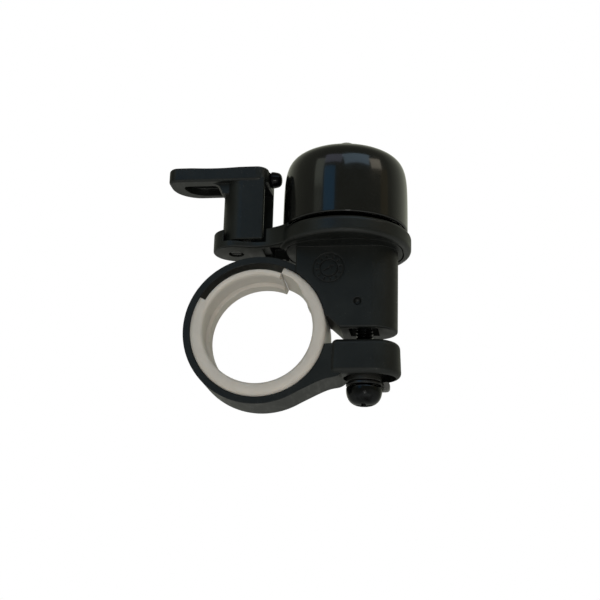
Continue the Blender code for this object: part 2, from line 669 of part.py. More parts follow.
# ---------------------------------------------------------------- lever spring and tie
def make_tie():
    steel = material("tie_steel", STEEL, 1.0, 0.3)
    head_top = 21.0 * MM
    head_low = 20.25 * MM
    profile = [
        (0.0, TIE_TOP_Z), (TIE_R * 0.7, TIE_TOP_Z), (TIE_R, TIE_TOP_Z - 0.3 * MM), (TIE_R, head_top),
        (TIE_HEAD_R, head_top), (TIE_HEAD_R, head_low + 0.3 * MM),
        (TIE_HEAD_R - 0.25 * MM, head_low), (0.0, head_low),
    ]
    tie = lathe("tie_screw", profile, (LOBE_X, 0, 0), steel, sides=32)
    groove = box("tie_slot_cutter", LOBE_X - 2 * MM, LOBE_X + 2 * MM, -0.2 * MM, 0.2 * MM,
                 19 * MM, head_low + 0.35 * MM)
    cut(tie, groove)
    smooth(tie)

    nut_mat = material("tie_nut_steel", STEEL, 1.0, 0.35)
    hexagon = arc(LOBE_X, 0, 1.8 * MM, 30.0, 390.0, 6)[:-1]
    nut = prism("tie_nut", hexagon, "Z", TIE_NUT_Z0, TIE_NUT_Z1, nut_mat)
    bevel(nut, 0.15 * MM, 2)
    cut(nut, cylinder("tie_nut_hole_cutter", TIE_R + 0.3 * MM, 31 * MM, 35 * MM, (LOBE_X, 0)))
    smooth(nut)

    seat = lathe(
        "spring_seat", ring_profile(2.1 * MM, 1.5 * MM, 24.5 * MM, SEAT_Z1, 0.08 * MM),
        (LOBE_X, 0, 0), material("seat_steel", STEEL, 1.0, 0.3), sides=32,
    )
    smooth(seat)

    wire = bpy.data.curves.new("spring_path", "CURVE")
    wire.dimensions = "3D"
    wire.bevel_depth = WIRE_R
    wire.bevel_resolution = 2
    wire.use_fill_caps = True
    wire.resolution_u = 1
    wire.render_resolution_u = 0
    low = SEAT_Z1 + 0.08 * MM + WIRE_R
    high = TIE_NUT_Z0 - 0.08 * MM - WIRE_R
    per_turn = 16
    count = SPRING_TURNS * per_turn
    line = wire.splines.new("POLY")
    line.points.add(count)
    for i in range(count + 1):
        u = i / count
        turn = 2 * math.pi * SPRING_TURNS * u
        ease = min(1.0, max(0.0, (u - 0.1) / 0.8))
        dead = 2.2 * WIRE_R
        if u < 0.1:
            z = low + dead * u / 0.1 * 0.5
        elif u > 0.9:
            z = high - dead * (1 - u) / 0.1 * 0.5
        else:
            z = low + dead * 0.5 + (high - low - dead) * ease
        line.points[i].co = (
            LOBE_X + SPRING_R * math.cos(turn), SPRING_R * math.sin(turn), z, 1.0
        )
    guide = bpy.data.objects.new("spring_path", wire)
    adopt(guide)
    bpy.context.view_layer.update()
    graph = bpy.context.evaluated_depsgraph_get()
    mesh = bpy.data.meshes.new_from_object(guide.evaluated_get(graph))
    bm = bmesh.new()
    bm.from_mesh(mesh)
    bmesh.ops.remove_doubles(bm, verts=bm.verts, dist=0.00001)
    bpy.data.meshes.remove(mesh)
    bpy.data.objects.remove(guide, do_unlink=True)
    spring = from_bmesh("lever_spring", bm, material("spring_steel", STEEL, 1.0, 0.26))
    smooth(spring, 60)


def make_pivot():
    """Hangs the lever's pieces on an empty that lies on the line the lever rocks about."""
    pivot = bpy.data.objects.new("lever_pivot", None)
    pivot.empty_display_size = 4 * MM
    pivot.location = (HEEL_X, 0.0, HEEL_Z)
    PARTS.objects.link(pivot)
    bpy.context.view_layer.update()
    for name in ("lever", "hammer_knob", "spring_seat"):
        piece = bpy.data.objects[name]
        piece.parent = pivot
        piece.matrix_parent_inverse = pivot.matrix_world.inverted()


make_clamp_body()
make_clamp_hardware()
make_base()
make_base_screws()
make_dome()
make_lever()
make_tie()
make_pivot()
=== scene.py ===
"""A bicycle bell: a gloss dome on a moulded base, a rocking thumb lever and a lined handlebar strap.

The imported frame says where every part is. This script makes the finished surfaces that stand in
those places, their materials, the studio and the camera.
"""

import math

import bmesh
import bpy
from mathutils import Matrix, Vector


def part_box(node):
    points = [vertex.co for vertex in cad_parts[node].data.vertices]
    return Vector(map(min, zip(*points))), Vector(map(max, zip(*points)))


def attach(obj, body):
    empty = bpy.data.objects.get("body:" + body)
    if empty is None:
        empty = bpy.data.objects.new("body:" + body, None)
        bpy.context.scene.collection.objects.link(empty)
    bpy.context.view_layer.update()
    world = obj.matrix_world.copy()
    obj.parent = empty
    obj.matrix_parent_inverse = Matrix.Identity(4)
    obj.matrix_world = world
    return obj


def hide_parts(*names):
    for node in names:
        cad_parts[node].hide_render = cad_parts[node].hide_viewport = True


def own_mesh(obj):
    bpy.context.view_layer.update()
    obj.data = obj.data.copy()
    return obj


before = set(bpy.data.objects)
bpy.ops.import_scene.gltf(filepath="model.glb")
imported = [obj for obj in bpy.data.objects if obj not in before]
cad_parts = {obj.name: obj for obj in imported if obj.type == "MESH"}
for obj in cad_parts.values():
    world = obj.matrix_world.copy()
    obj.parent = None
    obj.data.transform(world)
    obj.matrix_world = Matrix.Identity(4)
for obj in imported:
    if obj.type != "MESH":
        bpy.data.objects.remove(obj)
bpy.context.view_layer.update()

MM = 0.001

# ---------------- places, read from the frame
DOME_LOW, DOME_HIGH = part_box("dome")
DOME_X = (DOME_LOW.x + DOME_HIGH.x) / 2
DOME_R = (DOME_HIGH.x - DOME_LOW.x) / 2
RIM_Z = DOME_LOW.z
CROWN_Z = DOME_HIGH.z

BODY_LOW, BODY_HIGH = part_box("clamp_body")
STRAP_R = -BODY_LOW.x
PAD_LENGTH = 2 * (BODY_HIGH.x - DOME_X)
PAD_WIDTH = BODY_HIGH.y - BODY_LOW.y
BLOCK_TOP = BODY_HIGH.z

LINER_LOW, LINER_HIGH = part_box("clamp_liner")
LINER_RO = -LINER_LOW.z
LINER_HALF = LINER_HIGH.y

BASE_LOW, BASE_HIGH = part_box("base_plate")
FLANGE_R = BASE_HIGH.y
BOSS_TOP = BASE_HIGH.z
FLANGE_LOW_Z = BASE_LOW.z

LEVER_LOW, LEVER_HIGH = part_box("lever")
POST_Z0 = LEVER_LOW.z
TAB_Z1 = LEVER_HIGH.z
TAB_X0 = LEVER_LOW.x
TAB_X1 = LEVER_HIGH.x
TAB_Y0 = LEVER_LOW.y
TAB_Y1 = LEVER_HIGH.y
KNOB_LOW, KNOB_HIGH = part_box("hammer_knob")
KNOB_Z = (KNOB_LOW.z + KNOB_HIGH.z) / 2
KNOB_R = KNOB_HIGH.y

SCREW_LOW, SCREW_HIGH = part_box("clamp_screw")
SCREW_X = (SCREW_LOW.x + SCREW_HIGH.x) / 2
CAP_LOW, CAP_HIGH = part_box("dome_screw")
TIE_LOW, TIE_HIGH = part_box("tie_screw")
TIE_X = (TIE_LOW.x + TIE_HIGH.x) / 2
LOBE_R = TIE_X - BASE_LOW.x
SPRING_LOW, SPRING_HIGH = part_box("lever_spring")
RETAINER_LOW, RETAINER_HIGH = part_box("screw_retainer")
BASE_SCREW_X = [sum(p.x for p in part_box("base_screw_" + side)) / 2 for side in ("left", "right")]

# ---------------- sizes
# The block and lug share HALF, half their width along the handlebar; the strap is a little narrower.
HALF = 5.8 * MM
STRAP_HALF = 5.35 * MM
BORE_R = 15.78 * MM
BLOCK_X0 = 8.4 * MM
BLOCK_X1 = 31.6 * MM
BLOCK_Z0 = 0.1 * MM
LUG_X0 = 17.0 * MM
LUG_X1 = 32.1 * MM
LUG_Z0 = -10.5 * MM
LUG_Z1 = -2.45 * MM
LOBE_Z0 = 20.0 * MM
NECK_TOP_Z = 24.6 * MM
NECK_FILLET_R = 11.0 * MM
PLATE_TOP_Z = 21.6 * MM
FLANGE_Z1 = 23.6 * MM
SKIRT_R = 13.3 * MM
BOSS_R = 3.9 * MM
POCKET_Z = 21.15 * MM
POCKET_X1 = 1.15 * MM
POCKET_GAP = 0.5 * MM
HORN_X = -9.0 * MM
POCKET_SLOPE = 0.044
POST_X0 = -10.0 * MM
POST_HALF = 5.4 * MM
TAB_Z0 = 36.6 * MM
POST_WALL = 0.85 * MM
LINER_RI = 12.7 * MM
LINER_SPLIT_DEG = 67.8
LINER_TAPER_DEG = 33.0
LINER_RELIEF_END_DEG = 151.0
CLEAR = 1 * MM
SCREW_HOLE_R = 2.35 * MM
RECESS_Z = -11.4 * MM
DOME_HOLE_R = 1.8 * MM
CAP_SEAT_Z = 45.97 * MM


# ---------------- mesh tools
def solid(name, bm):
    """Makes an object from a bmesh, its faces turned outwards."""
    bmesh.ops.recalc_face_normals(bm, faces=bm.faces)
    mesh = bpy.data.meshes.new(name)
    bm.to_mesh(mesh)
    bm.free()
    piece = bpy.data.objects.new(name, mesh)
    bpy.context.scene.collection.objects.link(piece)
    return piece


def arc(cx, cy, radius, start, end, count):
    """Points on an arc, angles in degrees, both ends included."""
    angles = [math.radians(start + (end - start) * i / count) for i in range(count + 1)]
    return [(cx + radius * math.cos(t), cy + radius * math.sin(t)) for t in angles]


def stadium(x0, x1, half, count=48):
    """Flat at x0 and a full round at x1."""
    return [(x0, -half)] + arc(x1 - half, 0.0, half, -90.0, 90.0, count) + [(x0, half)]


def slot_shape(x0, x1, half, count=24):
    """Round at both ends."""
    return arc(x1 - half, 0, half, -90, 90, count) + arc(x0 + half, 0, half, 90, 270, count)


def oval(length, width, count=120):
    """A plump oval about the dome's axis, a little squarer than an ellipse."""
    points = []
    for i in range(count):
        t = 2 * math.pi * i / count
        x = math.copysign(abs(math.cos(t)) ** 0.75, math.cos(t)) * length / 2
        y = math.copysign(abs(math.sin(t)) ** 0.75, math.sin(t)) * width / 2
        points.append((DOME_X + x, y))
    return points


def rounded(points, radii, steps=6):
    """Rounds the corners of a closed outline, each by its own radius."""
    line = []
    count = len(points)
    for i, radius in enumerate(radii):
        corner = Vector(points[i])
        if radius == 0:
            line.append(tuple(corner))
            continue
        back = Vector(points[i - 1]) - corner
        ahead = Vector(points[(i + 1) % count]) - corner
        half_angle = back.angle(ahead) / 2
        reach = min(radius / math.tan(half_angle), 0.49 * back.length, 0.49 * ahead.length)
        first = corner + back.normalized() * reach
        last = corner + ahead.normalized() * reach
        for j in range(steps + 1):
            t = j / steps
            line.append(tuple(first * (1 - t) ** 2 + corner * 2 * t * (1 - t) + last * t * t))
    return line


def flowing(points, steps=8):
    """A smooth line drawn along a few guide points, the ends kept."""
    guide = [Vector(points[0])] * 2 + [Vector(p) for p in points] + [Vector(points[-1])] * 2
    line = []
    for i in range(len(guide) - 3):
        a, b, c, d = guide[i:i + 4]
        for j in range(steps):
            t = j / steps
            line.append(tuple((
                a * (1 - t) ** 3 + b * (3 * t ** 3 - 6 * t * t + 4)
                + c * (-3 * t ** 3 + 3 * t * t + 3 * t + 1) + d * t ** 3
            ) / 6))
    line.append(tuple(points[-1]))
    return line


def bridged(bm, rings):
    """Makes the faces between each ring and the next."""
    for lower, upper in zip(rings, rings[1:]):
        for i in range(len(lower)):
            j = (i + 1) % len(lower)
            bm.faces.new((lower[i], lower[j], upper[j], upper[i]))


def prism(outline, axis, low, high, flare=0.0, name="tool"):
    """An outline pushed along Y (points x, z) or Z (points x, y); flare widens the low end."""
    bm = bmesh.new()
    middle = sum(p[0] for p in outline) / len(outline)
    rings = []
    for level, extra in ((low, flare), (high, 0.0)):
        ring = []
        for a, b in outline:
            way = Vector((a - middle, b))
            if extra and way.length > 0:
                a, b = (Vector((a, b)) + way.normalized() * extra)
            ring.append(bm.verts.new((a, level, b) if axis == "Y" else (a, b, level)))
        rings.append(ring)
    bm.faces.new(rings[0])
    bm.faces.new(rings[1])
    bridged(bm, rings)
    return solid(name, bm)


def block(x0, x1, y0, y1, z0, z1):
    """A box between two corners."""
    return prism([(x0, y0), (x1, y0), (x1, y1), (x0, y1)], "Z", z0, z1)


def rod(radius, low, high, centre=(0.0, 0.0), axis="Z", sides=64):
    """A plain cylinder along Y or Z."""
    return prism(arc(*centre, radius, 0, 360, sides)[:-1], axis, low, high)


def turned(profile, centre=(0.0, 0.0), sides=144, name="tool"):
    """A closed solid turned about a line along Z, from (radius, height) points."""
    bm = bmesh.new()
    rings = []
    for radius, height in profile:
        count = 1 if radius < 1e-7 else sides
        rings.append([
            bm.verts.new((
                centre[0] + radius * math.cos(2 * math.pi * i / count),
                centre[1] + radius * math.sin(2 * math.pi * i / count), height,
            ))
            for i in range(count)
        ])
    pairs = list(zip(rings, rings[1:]))
    if profile[0][0] > 1e-7:
        pairs.append((rings[-1], rings[0]))
    for upper, lower in pairs:
        for i in range(sides):
            corners = [upper[i % len(upper)], upper[(i + 1) % len(upper)]]
            corners += [lower[(i + 1) % len(lower)], lower[i % len(lower)]]
            bm.faces.new(list(dict.fromkeys(corners)))
    return solid(name, bm)


def settle(piece):
    """Applies a piece's modifiers."""
    bpy.context.view_layer.update()
    graph = bpy.context.evaluated_depsgraph_get()
    mesh = bpy.data.meshes.new_from_object(piece.evaluated_get(graph))
    piece.modifiers.clear()
    piece.data = mesh
    return piece


def combined(piece, operation, tools):
    """Joins or cuts a piece with tools, which are used up."""
    for tool in tools:
        step = piece.modifiers.new(tool.name, "BOOLEAN")
        step.operation = operation
        step.object = tool
        step.solver = "EXACT"
    settle(piece)
    for tool in tools:
        bpy.data.objects.remove(tool)
    return piece


def joined(piece, *tools):
    """The piece and the tools as one body."""
    return combined(piece, "UNION", tools)


def carved(piece, *tools):
    """The piece with the tools cut away."""
    return combined(piece, "DIFFERENCE", tools)


def eased(piece, width, steps=3, angle=32.0):
    """Rounds every edge sharper than the angle."""
    step = piece.modifiers.new("Ease", "BEVEL")
    step.width = width
    step.segments = steps
    step.limit_method = "ANGLE"
    step.angle_limit = math.radians(angle)
    step.use_clamp_overlap = True
    return settle(piece)


def moved(piece, matrix):
    """Carries a piece's mesh to its place."""
    piece.data.transform(matrix)
    return piece


def soft_ring(outer, inner, low, high, softness, centre):
    """A ring with rounded corners, such as a washer."""
    corners = [(outer, high), (outer, low), (inner, low), (inner, high)]
    return turned(rounded(corners, [softness] * 4, 4), centre, 96)


def present(piece, name, mat, slot, body, *nodes, sharp=50.0):
    """Names and shades a finished piece, and puts it in the place of its CAD nodes."""
    piece.name = name
    piece.data.name = name
    piece.data.materials.clear()
    piece.data.materials.append(mat)
    for face in piece.data.polygons:
        face.use_smooth = True
    piece.data.set_sharp_from_angle(angle=math.radians(sharp))
    even = piece.modifiers.new("Even", "WEIGHTED_NORMAL")
    even.keep_sharp = True
    even.weight = 60
    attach(piece, body)
    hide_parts(*nodes)
    return piece


# ---------------- shader tools
def node(tree, kind, **values):
    """Adds a node and sets its properties."""
    made = tree.nodes.new(kind)
    for key, value in values.items():
        setattr(made, key, value)
    return made


def feed(tree, socket, value):
    """Sets a socket to a constant, or links another node's output to it."""
    if isinstance(value, (int, float, tuple)):
        socket.default_value = value
    else:
        tree.links.new(value, socket)


def calc(tree, operation, first, second=None, third=None, clamp=False):
    """A Math node fed by sockets or numbers; returns its output."""
    step = node(tree, "ShaderNodeMath", operation=operation, use_clamp=clamp)
    for socket, value in zip(step.inputs, (first, second, third)):
        if value is not None:
            feed(tree, socket, value)
    return step.outputs[0]


def remap(tree, value, low, high, to_low=0.0, to_high=1.0):
    """Stretches a value from one range to another, and stops at its ends."""
    step = node(tree, "ShaderNodeMapRange")
    step.inputs["From Min"].default_value = low
    step.inputs["From Max"].default_value = high
    step.inputs["To Min"].default_value = to_low
    step.inputs["To Max"].default_value = to_high
    tree.links.new(value, step.inputs["Value"])
    return step.outputs["Result"]


def own_space(tree):
    """Coordinates that stay with the piece as it moves."""
    return node(tree, "ShaderNodeTexCoord").outputs["Object"]


def noise(tree, place, scale, detail=3.0, stretch=None):
    """Noise at a scale in cells per metre, which may be a socket."""
    if stretch is not None:
        bend = node(tree, "ShaderNodeVectorMath", operation="MULTIPLY")
        bend.inputs[1].default_value = stretch
        tree.links.new(place, bend.inputs[0])
        place = bend.outputs[0]
    grain = node(tree, "ShaderNodeTexNoise")
    grain.inputs["Detail"].default_value = detail
    feed(tree, grain.inputs["Scale"], scale)
    tree.links.new(place, grain.inputs["Vector"])
    return grain.outputs["Fac"]


def new_group(name, inputs, outputs):
    """An empty node group with named number inputs and typed outputs."""
    group = bpy.data.node_groups.new(name, "ShaderNodeTree")
    for label, default in inputs:
        socket = group.interface.new_socket(label, in_out="INPUT", socket_type="NodeSocketFloat")
        socket.default_value = default
    for label, kind in outputs:
        group.interface.new_socket(label, in_out="OUTPUT", socket_type="NodeSocket" + kind)
    return group, node(group, "NodeGroupInput").outputs, node(group, "NodeGroupOutput").inputs


def make_edge_group():
    """Finds outside edges and hollow corners, and gives a normal that softens them."""
    group, given, result = new_group(
        "edge_wear",
        [("Radius", 0.0002), ("Breakup Scale", 900.0)],
        [("Edge", "Float"), ("Hollow", "Float"), ("Normal", "Vector")],
    )
    soft = node(group, "ShaderNodeBevel", samples=6)
    group.links.new(given["Radius"], soft.inputs["Radius"])
    place = node(group, "ShaderNodeNewGeometry")
    turn = node(group, "ShaderNodeVectorMath", operation="DOT_PRODUCT")
    group.links.new(soft.outputs["Normal"], turn.inputs[0])
    group.links.new(place.outputs["Normal"], turn.inputs[1])
    bent = remap(group, turn.outputs["Value"], 0.995, 0.80)
    coords = own_space(group)
    broken = remap(group, noise(group, coords, given["Breakup Scale"], 4.0), 0.42, 0.62)
    near = node(group, "ShaderNodeAmbientOcclusion", samples=6)
    near.inputs["Distance"].default_value = 1.2 * MM
    hollow = calc(group, "SUBTRACT", 1.0, near.outputs["AO"], clamp=True)
    open_air = calc(group, "SUBTRACT", 1.0, calc(group, "MULTIPLY", hollow, 1.6), clamp=True)
    edge = calc(group, "MULTIPLY", calc(group, "MULTIPLY", bent, broken), open_air, clamp=True)
    group.links.new(edge, result["Edge"])
    group.links.new(hollow, result["Hollow"])
    group.links.new(soft.outputs["Normal"], result["Normal"])
    return group


def make_grain_group():
    """The skin of a moulded part: fine spark texture, slow waviness, and roughness that follows."""
    group, given, result = new_group(
        "moulded_skin",
        [("Grain Scale", 5200.0), ("Wave Scale", 160.0)],
        [("Height", "Float"), ("Mottle", "Float"), ("Rub", "Float")],
    )
    coords = own_space(group)
    grain = noise(group, coords, given["Grain Scale"], 2.0)
    wave = noise(group, coords, given["Wave Scale"], 3.0)
    height = calc(group, "ADD", calc(group, "MULTIPLY", grain, 0.5), calc(group, "MULTIPLY", wave, 0.9))
    streaks = noise(group, coords, 700.0, 5.0, (1.0, 0.25, 3.0))
    group.links.new(height, result["Height"])
    group.links.new(remap(group, wave, 0.35, 0.68), result["Mottle"])
    group.links.new(remap(group, streaks, 0.50, 0.74), result["Rub"])
    return group


def make_scratch_group():
    """Hair scratches in two directions, and scattered dust."""
    group, given, result = new_group(
        "scratches_and_dust",
        [("Scratch Scale", 420.0), ("Dust Scale", 1500.0)],
        [("Scratch", "Float"), ("Dust", "Float")],
    )
    coords = own_space(group)
    lines = []
    for angle in (0.5, 2.1):
        turn = node(group, "ShaderNodeMapping")
        turn.inputs["Rotation"].default_value = (angle, angle * 0.7, angle * 1.9)
        turn.inputs["Scale"].default_value = (1.0, 0.04, 1.0)
        group.links.new(coords, turn.inputs["Vector"])
        line = noise(group, turn.outputs["Vector"], given["Scratch Scale"], 1.0)
        lines.append(remap(group, line, 0.69, 0.72))
    group.links.new(calc(group, "MAXIMUM", lines[0], lines[1]), result["Scratch"])
    cells = node(group, "ShaderNodeTexVoronoi")
    group.links.new(coords, cells.inputs["Vector"])
    group.links.new(given["Dust Scale"], cells.inputs["Scale"])
    patch = remap(group, noise(group, coords, 260.0, 2.0), 0.5, 0.66)
    specks = remap(group, cells.outputs["Distance"], 0.16, 0.06)
    group.links.new(calc(group, "MULTIPLY", specks, patch, clamp=True), result["Dust"])
    return group


MOULD_GRAIN = 0.03 * MM
POLISH_GRAIN = 0.01 * MM
EDGE_GROUP = make_edge_group()
GRAIN_GROUP = make_grain_group()
SCRATCH_GROUP = make_scratch_group()


def placed(tree, group, **values):
    """Puts a shared group in a material with its own values."""
    made = node(tree, "ShaderNodeGroup")
    made.node_tree = group
    for label, value in values.items():
        made.inputs[label.replace("_", " ")].default_value = value
    return made.outputs


def blend(tree, amount, first, second):
    """Mixes two colours, each a socket or three numbers."""
    mix = node(tree, "ShaderNodeMix", data_type="RGBA")
    tree.links.new(amount, mix.inputs["Factor"])
    for label, value in (("A", first), ("B", second)):
        socket = [s for s in mix.inputs if s.name == label and s.type == "RGBA"][0]
        feed(tree, socket, (*value, 1.0) if isinstance(value, tuple) else value)
    return [s for s in mix.outputs if s.type == "RGBA"][0]


def new_material(name, **sockets):
    """A material whose constant values sit on the shader's own sockets."""
    mat = bpy.data.materials.new(name)
    mat.use_nodes = True
    shader = mat.node_tree.nodes["Principled BSDF"]
    for label, value in sockets.items():
        shader.inputs[label.replace("_", " ")].default_value = value
    return mat, mat.node_tree, shader.inputs


def finish(tree, sockets, colour, layers, rough, shifts, height, normal, strength, depth):
    """Wires a material: tints laid over a colour, shifts of its roughness, and a bump.

    A layer is a mask, its share and a tint; a shift is a mask and how far it moves the roughness.
    """
    for mask, share, tint in layers:
        colour = blend(tree, calc(tree, "MULTIPLY", mask, share), colour, tint)
    tree.links.new(colour, sockets["Base Color"])
    for mask, shift in shifts:
        rough = calc(tree, "MULTIPLY_ADD", mask, shift, rough, clamp=True)
    tree.links.new(rough, sockets["Roughness"])
    step = node(tree, "ShaderNodeBump")
    step.inputs["Strength"].default_value = strength
    step.inputs["Distance"].default_value = depth
    tree.links.new(height, step.inputs["Height"])
    tree.links.new(normal, step.inputs["Normal"])
    tree.links.new(step.outputs["Normal"], sockets["Normal"])


def moulded_plastic(name, dark, worn, rough, radius=0.00022, grain=5200.0, bump=0.3, level=0.5):
    """Satin moulded nylon: dark skin, rubbed paler edges, dull hollows, fine grain."""
    mat, tree, sockets = new_material(name, IOR=1.52, Specular_IOR_Level=level)
    edge = placed(tree, EDGE_GROUP, Radius=radius)
    skin = placed(tree, GRAIN_GROUP, Grain_Scale=grain)
    marks = placed(tree, SCRATCH_GROUP)
    pale = tuple(c * 1.7 for c in dark)
    layers = [(edge["Edge"], 0.55, worn), (marks["Dust"], 0.22, (0.24, 0.23, 0.21))]
    shifts = [(skin["Rub"], -0.10), (skin["Mottle"], 0.07)]
    shifts += [(edge["Hollow"], 0.12), (edge["Edge"], -0.08)]
    colour = blend(tree, skin["Mottle"], dark, pale)
    finish(
        tree, sockets, colour, layers, rough, shifts, skin["Height"], edge["Normal"], bump, MOULD_GRAIN
    )
    return mat


def nylon_with_painted_shade(name):
    """Natural nylon with painted shade: near black close round the clamp screw, standing in for the
    recess's shadow on the ring, pale nylon on the ear further out.
    """
    mat, tree, sockets = new_material(name, IOR=1.52, Specular_IOR_Level=0.45)
    edge = placed(tree, EDGE_GROUP, Radius=0.0001)
    skin = placed(tree, GRAIN_GROUP, Grain_Scale=4200.0)
    coords = own_space(tree)
    gap = node(tree, "ShaderNodeVectorMath", operation="DISTANCE")
    flat = node(tree, "ShaderNodeVectorMath", operation="MULTIPLY")
    flat.inputs[1].default_value = (1.0, 1.0, 0.0)
    gap.inputs[1].default_value = (SCREW_X, 0.0, 0.0)
    tree.links.new(coords, flat.inputs[0])
    tree.links.new(flat.outputs[0], gap.inputs[0])
    spread = calc(tree, "MULTIPLY_ADD", noise(tree, coords, 1800.0, 4.0), 0.5 * MM, gap.outputs["Value"])
    beyond_painted_shade = remap(tree, spread, 4.60 * MM, 4.85 * MM)
    # painted shade: within about 4.7 mm of the screw axis the nylon is coloured near black, for the
    # shadow in the recess
    colour = blend(tree, beyond_painted_shade, (0.008, 0.008, 0.007), (0.12, 0.12, 0.115))
    layers = [(edge["Edge"], 0.4, (0.28, 0.28, 0.27)), (skin["Mottle"], 0.2, (0.05, 0.05, 0.045))]
    shifts = [(skin["Rub"], -0.08)]
    finish(
        tree, sockets, colour, layers, 0.38, shifts, skin["Height"], edge["Normal"], 0.2, MOULD_GRAIN
    )
    return mat


def gloss_lacquer(name, dark, rough, coat=0.6, level=0.35):
    """Deep black lacquer under clear coat, with fine peel, hair scratches and bare worn edges."""
    mat, tree, sockets = new_material(
        name, IOR=1.5, Coat_Weight=coat, Coat_Roughness=0.07, Coat_IOR=1.45, Specular_IOR_Level=level
    )
    edge = placed(tree, EDGE_GROUP, Radius=0.00012, Breakup_Scale=1400.0)
    marks = placed(tree, SCRATCH_GROUP, Scratch_Scale=1500.0, Dust_Scale=3600.0)
    skin = placed(tree, GRAIN_GROUP, Grain_Scale=1500.0, Wave_Scale=210.0)
    colour = blend(tree, skin["Mottle"], dark, tuple(c * 1.5 for c in dark))
    bare = 0.35
    tree.links.new(calc(tree, "MULTIPLY", edge["Edge"], bare), sockets["Metallic"])
    layers = [
        (marks["Scratch"], 0.05, (0.05, 0.05, 0.05)), (marks["Dust"], 0.04, (0.20, 0.19, 0.17)),
        (edge["Edge"], bare, (0.20, 0.20, 0.21)),
    ]
    shifts = [(skin["Mottle"], 0.05), (marks["Scratch"], 0.06), (marks["Dust"], 0.15)]
    finish(
        tree, sockets, colour, layers, rough, shifts, skin["Height"], edge["Normal"], 0.10, POLISH_GRAIN
    )
    return mat


def plated_metal(name, bright, dull, rough, radius=0.0001, brush=2600.0):
    """Plated or plain metal: turning marks, brighter edges and dull stains in the hollows."""
    mat, tree, sockets = new_material(name, Metallic=1.0)
    edge = placed(tree, EDGE_GROUP, Radius=radius, Breakup_Scale=1600.0)
    marks = placed(tree, SCRATCH_GROUP, Scratch_Scale=700.0, Dust_Scale=2400.0)
    coords = own_space(tree)
    lines = noise(tree, coords, brush, 3.0, (0.25, 0.25, 2.0))
    stain = remap(tree, noise(tree, coords, 420.0, 4.0), 0.45, 0.7)
    colour = blend(tree, stain, bright, dull)
    brighter = tuple(min(1.0, c * 1.6 + 0.05) for c in bright)
    layers = [(edge["Edge"], 0.6, brighter), (edge["Hollow"], 1.0, tuple(c * 0.4 for c in dull))]
    shifts = [(stain, 0.12), (marks["Scratch"], 0.10), (marks["Dust"], 0.30)]
    finish(tree, sockets, colour, layers, rough, shifts, lines, edge["Normal"], 0.25, POLISH_GRAIN)
    return mat


def soft_elastomer(name):
    """Milky liner: light scatters inside, the skin is cloudy, handled and slightly grubby."""
    mat, tree, sockets = new_material(
        name, IOR=1.45, Subsurface_Weight=0.35, Subsurface_Scale=0.0012,
        Subsurface_Radius=(1.0, 0.8, 0.65),
    )
    edge = placed(tree, EDGE_GROUP, Radius=0.0003, Breakup_Scale=700.0)
    skin = placed(tree, GRAIN_GROUP, Grain_Scale=3600.0, Wave_Scale=130.0)
    marks = placed(tree, SCRATCH_GROUP, Scratch_Scale=380.0, Dust_Scale=1300.0)
    colour = blend(tree, skin["Mottle"], (0.56, 0.515, 0.462), (0.50, 0.462, 0.42))
    layers = [
        (edge["Hollow"], 0.45, (0.27, 0.26, 0.245)), (marks["Dust"], 0.25, (0.30, 0.28, 0.25)),
        (marks["Scratch"], 0.12, (0.45, 0.43, 0.41)),
    ]
    shifts = [(skin["Mottle"], 0.10), (skin["Rub"], -0.08)]
    finish(
        tree, sockets, colour, layers, 0.36, shifts, skin["Height"], edge["Normal"], 0.25, MOULD_GRAIN
    )
    return mat


# ---------------- finishes
BLACK = (0.0036, 0.0042, 0.0036)
WORN_BLACK = (0.050, 0.052, 0.050)
CLAMP_NYLON = moulded_plastic("clamp_nylon_satin", BLACK, WORN_BLACK, 0.42, level=0.40)
BASE_NYLON = moulded_plastic("base_nylon_satin", BLACK, WORN_BLACK, 0.38, grain=4600.0, level=0.44)
LEVER_NYLON = moulded_plastic("lever_nylon_satin", BLACK, WORN_BLACK, 0.36, grain=4800.0, level=0.40)
RETAINER_NYLON = nylon_with_painted_shade("retainer_natural_nylon")
BUSH_RUBBER = moulded_plastic("bush_rubber_matt", (0.02, 0.02, 0.02), (0.05, 0.05, 0.05), 0.68)
DOME_LACQUER = gloss_lacquer("dome_black_lacquer", (0.0022, 0.0022, 0.0018), 0.15)
KNOB_LACQUER = gloss_lacquer("knob_black_gloss_skin", (0.0012, 0.0012, 0.0017), 0.12, 0.06, 0.12)
LINER_ELASTOMER = soft_elastomer("liner_milky_elastomer")
BLACK_ZINC = plated_metal("screw_black_zinc_plate", (0.030, 0.031, 0.032), (0.012, 0.012, 0.012), 0.16)
DARK_ZINC = plated_metal("washer_dark_zinc", (0.07, 0.07, 0.073), (0.035, 0.035, 0.035), 0.30)
CAP_STEEL = plated_metal("dome_screw_zinc", (0.30, 0.30, 0.31), (0.16, 0.16, 0.16), 0.26)
STEEL = plated_metal("zinc_plated_steel", (0.52, 0.52, 0.53), (0.30, 0.30, 0.29), 0.28)
SPRING_STEEL = plated_metal("spring_wire_steel", (0.56, 0.56, 0.57), (0.34, 0.33, 0.32), 0.22)
BRASS = plated_metal("insert_turned_brass", (0.62, 0.44, 0.16), (0.34, 0.22, 0.08), 0.28)


